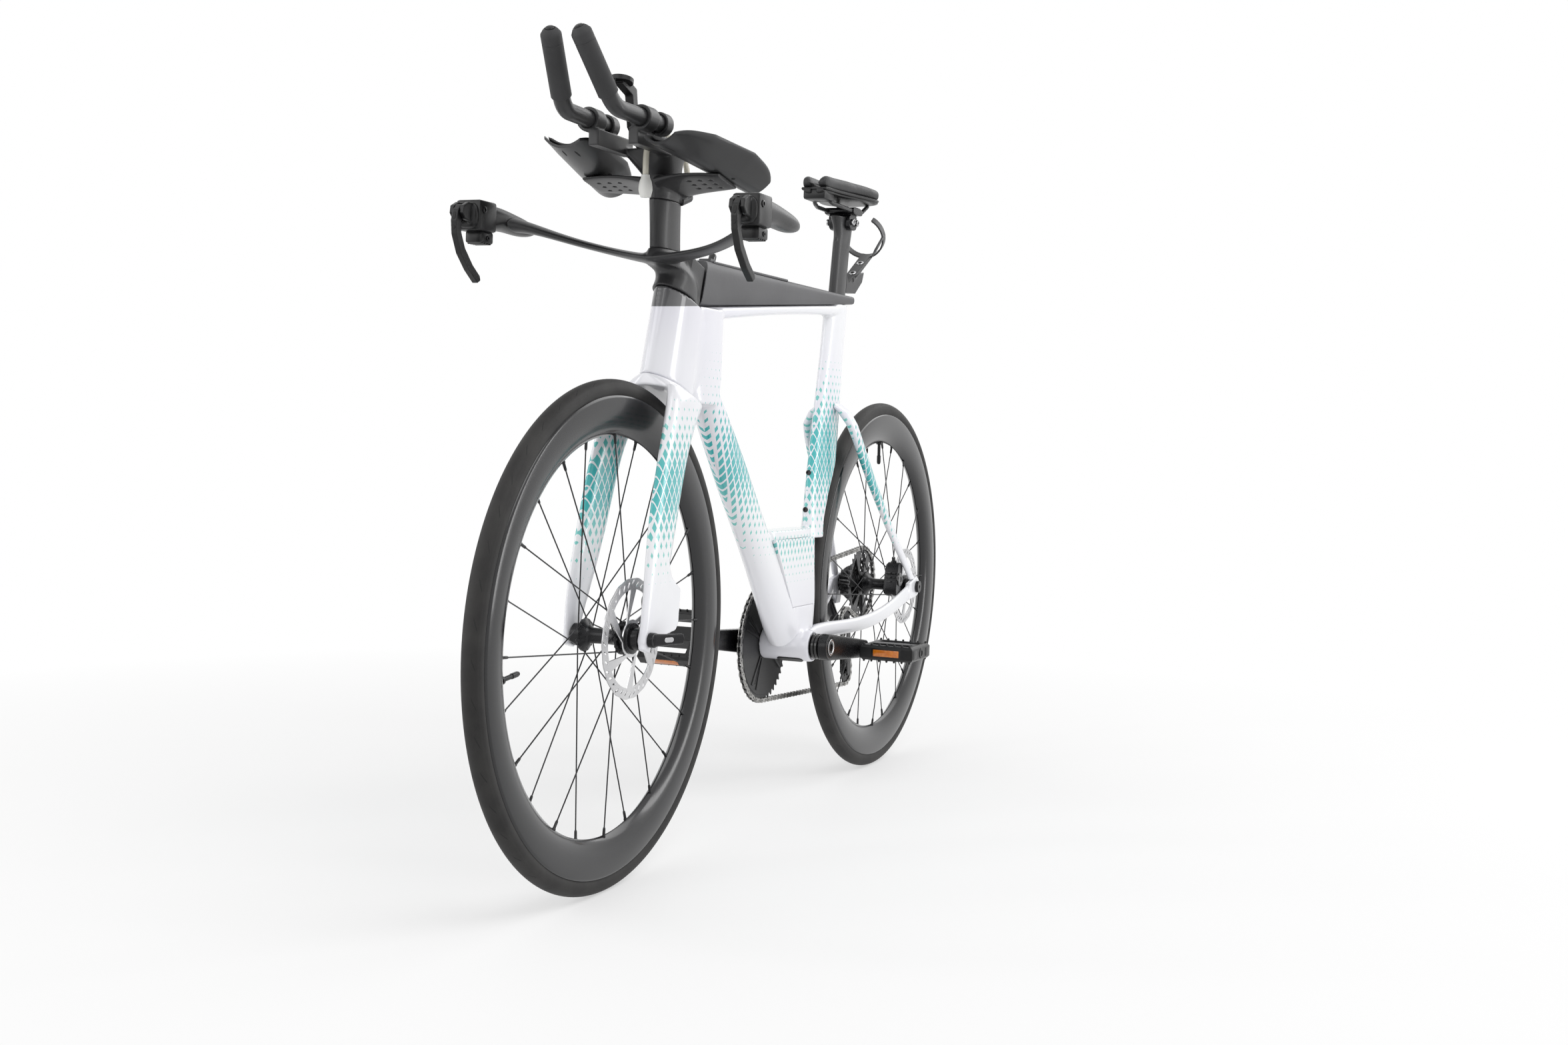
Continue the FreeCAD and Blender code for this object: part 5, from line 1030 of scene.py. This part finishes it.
def chain():
    """The loop in three stretches: what stays, the lower run up to the cage, and the turns on the cage."""
    tension, guide = pivot("tension_wheel_spin"), pivot("guide_wheel_spin")
    above = (guide - tension).normalized() * (pitch_radius(WHEEL_TEETH) * MM)
    line = chain_line(tension, guide)
    pins, marks = evenly(line, CHAIN_PITCH * MM)
    for name, bends, start, end in (
        ("chain", None, LEAVES_CAGE, LEAVES_RING),
        ("chain_run", (line[LEAVES_RING], line[MEETS_CAGE]), LEAVES_RING, MEETS_CAGE),
        ("chain_turn", (guide + above, guide), MEETS_CAGE, LEAVES_CAGE),
    ):
        plates, rollers = Shape(), Shape()
        for index, (pin, mark) in enumerate(zip(pins, marks)):
            if within(mark, start, end):
                add_link(plates, pin, pins[(index + 1) % len(pins)], PLATE_OFFSETS[index % 2])
                rollers.turned(pin - Y * (ROLLER_HALF * MM), Y, ROLLER, 12)
        body, replaced = (None, ()) if bends else ("frame", ("chain",))
        for thing in (plates.piece(name + "_plates", body, "chain_steel", CHAIN, replaced, 30),
                      rollers.piece(name + "_rollers", body, "chain_steel", CASSETTE)):
            if bends:
                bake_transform(thing)


cassette()
chainring()
jockey("guide_wheel")
jockey("tension_wheel")
chain()


# Aero extensions, grips and buttons

EXTENSION_RADIUS = 11.1
KNEE_RADIUS = 34
GRIP_LENGTH = 84
GRIP_SLEEVE = [
    (11.2, -0.4), (12.6, -0.2), (13.2, 0.8), (13.2, 71), (12.8, 71.4), (12.8, 72.2), (13.2, 72.6), (13.2, 82),
    (12.9, 84), (9.6, 88.6), (7.4, 90.6), (6.4, 91), (5.9, 90.6), (5.9, 84.5), (0.02, 84.4),
]
BUTTON = [(0.02, 3), (5.2, 3), (5.5, 3.4), (5.5, 7.2), (5.0, 8.3), (3.4, 8.9), (0.02, 9)]


def extension_points(side):
    back = at_stem(140, side * 40, DECK + 26)
    knee = at_stem(273, side * 36, DECK + 26)
    tip = at_stem(335, side * 21, DECK + 106)
    return back, knee, tip


def rounded_path(points, radius, steps=14):
    """A bent line whose one corner is an arc."""
    start, corner, end = points
    back = (start - corner).normalized()
    onward = (end - corner).normalized()
    half = back.angle(onward) / 2
    reach = radius * MM / math.tan(half)
    centre = corner + (back + onward).normalized() * (radius * MM / math.sin(half))
    first = corner + back * reach - centre
    last = corner + onward * reach - centre
    lean = first.angle(last)
    arc = []
    for index in range(steps + 1):
        turn = lean * index / steps
        arc.append(centre + (first * math.sin(lean - turn) + last * math.sin(turn)) / math.sin(lean))
    return [start] + arc + [end]


def extensions():
    pipes, grips = Shape(), Shape()
    for side in SIDES:
        back, knee, tip = extension_points(side)
        pipes.tube(rounded_path((back, knee, tip), KNEE_RADIUS), EXTENSION_RADIUS, 40)
        run = (tip - knee).normalized()
        grips.turned(tip - run * (GRIP_LENGTH * MM), run, GRIP_SLEEVE, 48)
        name = named(side)
        Shape().turned(tip, run, BUTTON, 28).piece(
            f"{name}_button_dome", f"{name}_button", "black_plastic", PLASTIC, (f"{name}_bar_end_button",), 60)
    pipes.piece("extension_pipes", "steering", "carbon", CARBON, ("extensions",), 50)
    grips.piece("grip_sleeves", "steering", "grip_rubber", GRIP, ("extension_grips",), 40)


extensions()


# Arm rests

REST_REAR = at_stem(7, 110, 146)
REST_FRONT = at_stem(217, 70, 180)
REST_RUN = (REST_FRONT - REST_REAR).normalized()
REST_SIDE = Z.cross(REST_RUN).normalized()
REST_UP = REST_RUN.cross(REST_SIDE)
CUP_STATIONS = ((0.0, 0.8, 20), (0.3, 1.0, 27), (0.7, 0.94, 24), (1.0, 0.7, 15))
CUP_HALF = 42
CUP_WALL = 4
CUP_LIP = 1.015
CUP_DRAWN = 0.2
CUP_SQUARE = 9


def cup_point(share, part, level):
    """A point of the left cup: along it, across it from -1 to 1, and above its floor."""
    shares, wides, sags = zip(*CUP_STATIONS)
    wide = float(np.interp(share, shares, wides)) * CUP_HALF
    sag = float(np.interp(share, shares, sags)) * (1.15 if part > 0 else 1.0)
    middle = REST_REAR + (REST_FRONT - REST_REAR) * share
    return middle + REST_SIDE * (part * wide * MM) + REST_UP * ((sag * part * part + level) * MM)


def cups():
    """Two dished plates, drawn in at both ends."""
    rows, columns = 40, 20
    rings = []
    for row in range(rows + 1):
        share = row / rows
        drawn = 1 - CUP_DRAWN * abs(2 * share - 1) ** CUP_SQUARE
        parts = [(2 * column / columns - 1) * drawn for column in range(columns + 1)]
        ring = [cup_point(share, part, 0) for part in parts]
        ring.append(cup_point(share, drawn * CUP_LIP, CUP_WALL / 2))
        ring += [cup_point(share, part, CUP_WALL) for part in reversed(parts)]
        ring.append(cup_point(share, -drawn * CUP_LIP, CUP_WALL / 2))
        rings.append(ring)
    Shape().skin(rings).mirrored().piece("arm_cups", "steering", "carbon", CARBON, ("arm_rests",), 40)


cups()


# Soft pieces

PRESSURE = 4
MOMENTS = 20


def inflated(mesh, node, name, body, look, start, cap):
    """Draws a soft form in by start, blows it up as cloth, and lets each point move by cap at most."""
    relax(mesh, 3)
    normals = gathered(mesh.vertices, "normal", 3)
    before = gathered(mesh.vertices, "co", 3) - normals * (start * MM)
    mesh.vertices.foreach_set("co", before.ravel())
    pad = show(name, mesh, body, look, (node,), 180)
    cloth = pad.modifiers.new("swell", "CLOTH")
    cloth.settings.use_pressure = True
    cloth.settings.uniform_pressure_force = PRESSURE
    cloth.settings.effector_weights.gravity = 0
    for moment in range(1, MOMENTS + 1):
        SCENE.frame_set(moment)
    made = pad.evaluated_get(bpy.context.evaluated_depsgraph_get())
    swollen = bpy.data.meshes.new_from_object(made)
    move = gathered(swollen.vertices, "co", 3) - before
    length = np.linalg.norm(move, axis=1, keepdims=True)
    move *= np.minimum(1, cap * MM / np.maximum(length, 1e-9))
    pad.modifiers.clear()
    mesh.vertices.foreach_set("co", (before + move).ravel())
    bpy.data.meshes.remove(swollen)
    SCENE.frame_set(1)
    relax(mesh, 2)
    smooth = pad.modifiers.new("smooth", "SUBSURF")
    smooth.levels = 1
    smooth.render_levels = 1


SADDLE_NOSE = POST_TOP + mm(144, 0, 30)
SADDLE_LENGTH = 200
SADDLE_HALF = 54
SADDLE_PLAN = ((0.0, 0.41), (0.06, 0.47), (0.25, 0.54), (0.5, 0.74), (0.75, 0.97), (0.9, 1.0), (1.0, 0.66))
LOBE_SHARES = (0.002, 0.012, 0.03, 0.07, 0.14, 0.22, 0.3, 0.38, 0.43, 0.47, 0.51, 0.58, 0.66, 0.74, 0.82, 0.88,
               0.92, 0.95, 0.975, 0.99, 0.998)
SKIRT_SHARES = (0.012, 0.03, 0.06, 0.12, 0.2, 0.3, 0.4, 0.5, 0.6, 0.7, 0.8, 0.88, 0.93, 0.965, 0.985)
SKIRT_INSET = 0.975
PAD_FLOOR = 2.8
PAD_THICK = 22
SPLIT_HALF = 6
SPLIT_SHARE = 0.46
NOSE_SHARE = 0.07
TAIL_SHARE = 0.12
TROUGH_HALF = 15
TROUGH_DEPTH = 5


def saddle_edge(share):
    """The saddle's half width at a share of its length, counted from the nose."""
    shares, wides = zip(*SADDLE_PLAN)
    return float(np.interp(share, shares, wides)) * SADDLE_HALF


def lobe_ring(share, steps=28):
    """One section of the left lobe: full and round above, flat where it rests on the shell."""
    nose = math.sqrt(max(0.0, 1 - max(0.0, 1 - share / NOSE_SHARE) ** 2))
    tail = math.sqrt(max(0.0, 1 - max(0.0, (share - (1 - TAIL_SHARE)) / TAIL_SHARE) ** 2))
    full = max(nose * tail, 0.3)
    inner = float(np.interp(share, (SPLIT_SHARE - 0.03, SPLIT_SHARE + 0.05), (SPLIT_HALF, -4)))
    outer = saddle_edge(share)
    tall = PAD_THICK / 2 * full
    level = PAD_FLOOR + (PAD_THICK / 2 if share < 0.5 else tall)
    ring = []
    for turn in turns(steps):
        power = 0.78 if math.sin(turn) > 0 else 0.45
        side = math.copysign(abs(math.cos(turn)) ** power, math.cos(turn))
        rise = math.copysign(abs(math.sin(turn)) ** power, math.sin(turn))
        out = (outer + inner) / 2 + side * (outer - inner) / 2 * (0.7 + 0.3 * full)
        ring.append(SADDLE_NOSE + mm(-share * SADDLE_LENGTH, out, level + rise * tall))
    return ring


def saddle_form():
    """Both lobes joined behind the split, with a shallow channel along the middle."""
    lobes = Shape().skin([lobe_ring(share) for share in LOBE_SHARES]).mirrored()
    rough = bpy.data.meshes.new("saddle_form")
    rough.from_pydata(lobes.points, [], lobes.faces)
    mesh = remeshed(rough, 2.0)
    for vertex in mesh.vertices:
        share = (SADDLE_NOSE.x - vertex.co.x) / (SADDLE_LENGTH * MM)
        level = (vertex.co.z - SADDLE_NOSE.z) / MM
        trough = max(0.0, 1 - (vertex.co.y / (TROUGH_HALF * MM)) ** 2)
        trough *= max(0.0, min(1.0, (0.95 - share) / 0.2))
        if level > PAD_FLOOR + PAD_THICK / 2:
            vertex.co.z -= TROUGH_DEPTH * trough * MM
    return mesh


def saddle_trim():
    """The skirt that the cushion is drawn down to, and the square block under its nose."""
    left = [(-share * SADDLE_LENGTH, saddle_edge(share) * SKIRT_INSET) for share in SKIRT_SHARES]
    outline = left + [(along, -side) for along, side in reversed(left)]
    place = Matrix.Translation(SADDLE_NOSE + mm(0, 0, PAD_FLOOR - 0.6))
    skirt = Shape().plate([outline], 4.6, place, 1.4)
    skirt.block(SADDLE_NOSE + mm(-25, 0, -7), (X, Y, Z), (44, 40, 17), 4)
    skirt.piece("saddle_skirt", "seat", "black_plastic", PLASTIC)


inflated(remeshed(frame["nodes"]["arm_pads"].data.copy(), 4.0), "arm_pads", "arm_pad_covers", "steering",
         FOAM, start=1.0, cap=1.6)
inflated(saddle_form(), "saddle_pad", "saddle_cushion", "seat", SADDLE,
         start=0.8, cap=1.2)
saddle_trim()


# Fittings on the mouldings

BAR_END = 200
PEDAL_MIDDLE = 127
RIGHT_PEDAL_TILT = 50
STUD = [(2.2, 0), (2.0, 1.6), (1.5, 3.4), (0.9, 3.8)]
PEDAL_CAP = [(9.5, 0), (9.5, 2.2), (8.4, 3.2), (5, 3.2), (4.6, 1.4)]
COLLAR = [(18, 0), (20, 0), (21, 0.8), (21, 4), (20, 4.8), (18, 4.8)]
CRANK_RING = [(9.6, 73.2), (13.4, 73.2), (13.4, 75), (12.8, 75.6), (10.6, 75.6), (9.6, 75)]
BOTTLE_BOLTS = (549, 487)
CLAMP_HALF = 19.5
CLAMP_RING = [(3.2, 3), (5.6, 3), (5.6, 5), (5.0, 5.6), (3.8, 5.6), (3.2, 5)]
CAGE_RING = [(3.6, 0), (6.4, 0), (6.4, 1.2), (5.8, 1.8), (3.6, 1.8)]
CAGE_FOOT = mm(-327.6, 0, 884)
CAGE_LEAN = math.radians(30)
CAGE_UP = Vector((-math.cos(CAGE_LEAN), 0, math.sin(CAGE_LEAN)))
CAGE_OUT = Vector((math.sin(CAGE_LEAN), 0, math.cos(CAGE_LEAN)))
TAB_LEAN = math.radians(-28)
CALIPER_COVER = [(0.02, 5), (12.4, 5), (12.4, 6.4), (11.2, 7.4), (6, 7.4), (5, 6.2), (0.02, 6)]
HOSE_END = [(5.4, 0), (5.4, 5), (4.2, 6), (3.2, 6), (3.2, 12), (2.6, 13)]
SEAT_LEAN = math.radians(-10)
SEAT_RIM = [(9.5, -3.3), (15.2, -3.3), (15.9, -2.6), (15.9, 2.6), (15.2, 3.3), (10.3, 3.3), (9.5, 2.5)]


def lever_fittings():
    """Housings and bands at the bar's ends, with the marks on the lever blades."""
    housings, bolts = Shape(), Shape()
    housings.block(at_stem(211, BAR_END, 95), (X, Y, Z), (42, 38, 40), 3.6)
    housings.block(at_stem(203, BAR_END, 68), (X, Y, Z), (30, 26, 16), 3)
    for shift in (-9, -3, 3, 9):
        housings.block(at_stem(203 + shift, BAR_END, 60.4), (X, Y, Z), (3.4, 24, 3), 1)
    for face in SIDES:
        bolts.bolt(at_stem(222, BAR_END + face * 18.8, 102), Y * face, 4.6, 1.8)
        bolts.bolt(at_stem(203, BAR_END + face * 12.8, 67), Y * face, 3.4, 1.6)
    housings.mirrored().piece("lever_housings", "steering", "black_plastic", PLASTIC)
    bolts.mirrored().piece("lever_housing_bolts", "steering", "black_alloy", ALLOY)
    for side in SIDES:
        lever = MOULDED[named(side) + "_brake_lever"]
        marks = Shape()
        for up, outline in ((90, capsule(0, 0, 11, 4.4, math.pi / 2)), (75, circle(2.4, 20))):
            place, normal = on_skin(lever, at_stem(320, side * BAR_END, up), -X)
            marks.plate([outline], 1.2, facing(place, normal), 0.2)
        marks.piece(named(side) + "_lever_marks", named(side) + "_lever", "carbon", DARK)


def cup_slot_shade():
    """Slots and holes under the arm cups, where their bolts are moved along, drawn as thin dark patches:
    painted shade in place of the openings.
    """
    slots = Shape()
    rows = [(0.36, part, 0.055, 0.05) for part in (-0.55, -0.36, -0.17, 0.02)]
    rows += [(0.29, 0.24, 0.028, 0.06), (0.86, -0.35, 0.1, 0.03), (0.9, 0.1, 0.1, 0.03)]
    for share, part, length, width in rows:
        slots.skin([[cup_point(share + length / 2 * math.cos(turn), part + width * math.sin(turn), level)
                     for turn in turns(20)] for level in (-0.25, 0.6)])
    slots.mirrored().piece("cup_slot_shade", "steering", "carbon", DARK)


def pedal_fittings():
    """Reflectors, rows of studs and end caps on the pedals."""
    for side, tilt in ((LEFT, 0), (RIGHT, RIGHT_PEDAL_TILT)):
        turn = Matrix.Rotation(math.radians(tilt), 3, "Y")
        axes = [turn @ axis for axis in (X, Y, Z)]
        eye = pivot(named(side) + "_pedal_spin")
        eye = Vector((eye.x, side * PEDAL_MIDDLE * MM, eye.z))
        lenses, trim = Shape(), Shape()

        def spot(u, v, w):
            return eye + (axes[0] * u + axes[1] * v + axes[2] * w) * MM

        for end in (-1, 1):
            lenses.block(spot(end * 47.6, 0, 0), axes, (2.4, 46, 11.5), 0.8)
            trim.block(spot(end * 46.6, 0, 0), axes, (3.4, 53, 17.5), 1)
            trim.block(spot(end * 34, side * 46.4, 0), axes, (22, 2.6, 15), 1)
            for face in (-1, 1):
                for index in range(-3, 4):
                    trim.turned(spot(end * 43, index * 13.5, face * 12), axes[2] * face, STUD, 10)
        trim.turned(eye + Y * (side * 45 * MM), Y * side, PEDAL_CAP, 28)
        lenses.piece(named(side) + "_pedal_reflectors", named(side) + "_pedal", "black_plastic", REFLECTOR)
        trim.piece(named(side) + "_pedal_trim", named(side) + "_pedal", "black_plastic", PLASTIC)


def crank_fittings():
    """Rings on the left collar, and the bolt at the spindle's end."""
    collars = Shape()
    for start in (46, 52):
        collars.turned(BRACKET + Y * (start * MM), Y, COLLAR, 56, True)
    collars.piece("crank_collars", "crank", "black_alloy", GLOSSY)
    Shape().turned(BRACKET, Y, CRANK_RING, 48, True).piece("crank_bolt_ring", "crank", "steel", STEEL)
    Shape().bolt(BRACKET + Y * (72.8 * MM), Y, 9.8, 2.2).piece("crank_bolt", "crank", "black_alloy", ALLOY)


def frame_fittings():
    """Bottle bolts on the seat tube, and the plug under the bottom bracket."""
    bolts = Shape()
    for height in BOTTLE_BOLTS:
        bolts.screwed(MOULDED["main_frame"], mm(-20, 0, height), -X, 4.4, 3.2)
    bolts.piece("bottle_bolts", "frame", "black_alloy", ALLOY)
    place, normal = on_skin(MOULDED["main_frame"], BRACKET + mm(12, 8, -200), Z)
    plug = Shape().plate([capsule(0, 0, 46, 13, 0)], 2.4, facing(place, normal, X), 0.6)
    plug.piece("bracket_plug", "frame", "black_plastic", PLASTIC)


def seat_fittings():
    """Bolts of the saddle's clamp and of the bottle cage."""
    rings, cores = Shape(), Shape()
    for side in SIDES:
        for forward in (-8, 12):
            foot = POST_TOP + mm(forward, side * CLAMP_HALF, -8)
            rings.turned(foot, Y * side, CLAMP_RING, 28, True)
            cores.bolt(foot + Y * (side * 2.6 * MM), Y * side, 3.4, 2.2)
    for along in (24, 66):
        start = CAGE_FOOT + CAGE_UP * (along * MM) + CAGE_OUT * (30 * MM)
        place, normal = on_skin(MOULDED["bottle_cage"], start, -CAGE_OUT)
        foot = place - normal * (0.4 * MM)
        rings.turned(foot, normal, CAGE_RING, 28, True)
        cores.bolt(foot, normal, 3.8, 2.4)
    rings.piece("seat_bolt_rings", "seat", "steel", STEEL)
    cores.piece("seat_bolts", "seat", "black_alloy", ALLOY)


def lid_fittings():
    """The pull tab at the front end of the lid."""
    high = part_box("storage_lid")[1]
    place, _ = on_skin(MOULDED["storage_lid"], Vector((high[0] - 0.024, 0, high[2] + 0.05)), -Z)
    lean = Matrix.Rotation(TAB_LEAN, 3, "Y")
    axes = [lean @ axis for axis in (X, Y, Z)]
    tab = Shape().block(place + axes[2] * (6 * MM), axes, (9, 11, 18), 3.5)
    tab.block(place - X * (4 * MM), (X, Y, Z), (26, 13, 3), 1.2)
    tab.piece("lid_tab", "lid", "black_plastic", GLOSSY)


def brake_fittings():
    """Bolts on the rear caliper and the derailleur, and the caliper's ribs, round cover and hose end."""
    bolts, ribs = Shape(), Shape()
    caliper = MOULDED["rear_caliper"]
    low, high = map(Vector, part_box("rear_caliper"))
    middle = (low + high) / 2
    for shift in (-12, 12):
        bolts.screwed(caliper, middle + mm(shift, 80, shift * 0.26), -Y, 5, 2.6, 0.5)
    for centre, radius in ((pivot("cage_swing"), 11), (REAR_AXLE + mm(8, 0, -30), 8)):
        bolts.screwed(MOULDED["derailleur_body"], Vector((centre.x, -0.2, centre.z)), Y, radius, 2.4)
    bolts.piece("drive_bolts", "frame", "black_alloy", GLOSSY)
    face, _ = on_skin(caliper, middle + X * 0.12, -X)
    for rise in (-12, -4, 4, 12):
        ribs.block(face + mm(-0.8, 0, rise), (X, Y, Z), (4, 19, 3), 1)
    ribs.turned(middle + mm(0, 8, 0), Y, CALIPER_COVER, 36)
    ribs.turned(Vector((middle.x - 0.004, middle.y, high.z - 0.003)), Z + X * 0.3, HOSE_END, 20)
    ribs.piece("caliper_covers", "frame", "black_alloy", GLOSSY)


def cockpit_fittings():
    """The crisp rim of the computer's seat, and the plate let into the front axle's lever."""
    lean = Vector((math.sin(SEAT_LEAN), 0, math.cos(SEAT_LEAN)))
    seat = Shape().turned(at_stem(189, 0, DECK + 77), lean, SEAT_RIM, 56, True)
    seat.piece("computer_seat_rim", "steering", "black_plastic", PLASTIC)
    low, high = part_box("front_axle")
    start = Vector((low[0] + 0.026, high[1] + 0.1, FRONT_AXLE.z))
    place, normal = on_skin(MOULDED["front_axle"], start, -Y)
    plate = Shape().plate([capsule(0, 0, 15, 6.4, 0)], 1.2, facing(place, normal), 0.3)
    plate.piece("axle_lever_plate", "steering", "steel", STEEL)


bpy.context.view_layer.update()
lever_fittings()
cup_slot_shade()
pedal_fittings()
crank_fittings()
frame_fittings()
seat_fittings()
lid_fittings()
brake_fittings()
cockpit_fittings()


# Floor, light and background

FLOOR_REACH = 12
AMBIENT = 0.5


def stage():
    """A pale floor that keeps the bike's shadow near it and fades to white away from it."""
    corners = [(x * FLOOR_REACH, y * FLOOR_REACH, 0) for x, y in ((-1, -1), (1, -1), (1, 1), (-1, 1))]
    mesh = bpy.data.meshes.new("floor")
    mesh.from_pydata(corners, [], [(0, 1, 2, 3)])
    thing = bpy.data.objects.new("floor", mesh)
    SCENE.collection.objects.link(thing)
    look = Look("pale_floor", specular=0.2)
    look.colour(look.mix(look.noise(0.6), rgb(246, 246, 246), rgb(250, 250, 250)))
    look.rough(0.6)
    glow = look.node("ShaderNodeEmission", {"Color": (1, 1, 1, 1), "Strength": 1.0})
    blend = look.node("ShaderNodeMixShader", {1: look.shader.outputs[0], 2: glow.outputs[0]})
    away = look.node("ShaderNodeVectorMath", {0: look.place}, operation="LENGTH").outputs["Value"]
    white = look.span(away, 0.6, 2.2, 0.5, 1.0)
    look.feed(blend.inputs[0], look.times(look.seen_directly(), white))
    output = next(node for node in look.nodes if node.type == "OUTPUT_MATERIAL")
    look.links.new(blend.outputs[0], output.inputs[0])
    mesh.materials.append(look.material)


def light(name, place, target, extent, power):
    data = bpy.data.lights.new(name, "AREA")
    data.shape = "RECTANGLE"
    data.size, data.size_y = extent
    data.energy = power
    lamp = bpy.data.objects.new(name, data)
    SCENE.collection.objects.link(lamp)
    lamp.location = place
    lamp.rotation_euler = (Vector(target) - Vector(place)).to_track_quat("-Z", "Y").to_euler()


def background():
    """White where it is seen, and half as bright as a light."""
    world = bpy.data.worlds.new("studio")
    SCENE.world = world
    world.use_nodes = True
    tree = Nodes(world.node_tree)
    sky = tree.nodes["Background"]
    sky.inputs[0].default_value = (1, 1, 1, 1)
    tree.feed(sky.inputs[1], tree.span(tree.seen_directly(), 0.0, 1.0, AMBIENT, 1.0))


stage()
background()
light("key", (1.2, 2.2, 3.4), (0, 0, 0.5), (3.0, 2.0), 52)
light("fill", (3.4, -1.0, 2.0), (0.2, 0, 0.5), (2.4, 2.0), 22)
light("back", (-3.0, 1.2, 2.6), (-0.2, 0, 0.5), (2.4, 2.0), 24)
light("left_strip", (-1.6, 2.6, 1.1), (-0.2, 0, 0.5), (0.5, 2.0), 16)
light("right_strip", (1.9, -2.4, 1.3), (0, 0, 0.5), (0.4, 2.0), 14)
SCENE.view_settings.view_transform = "Standard"
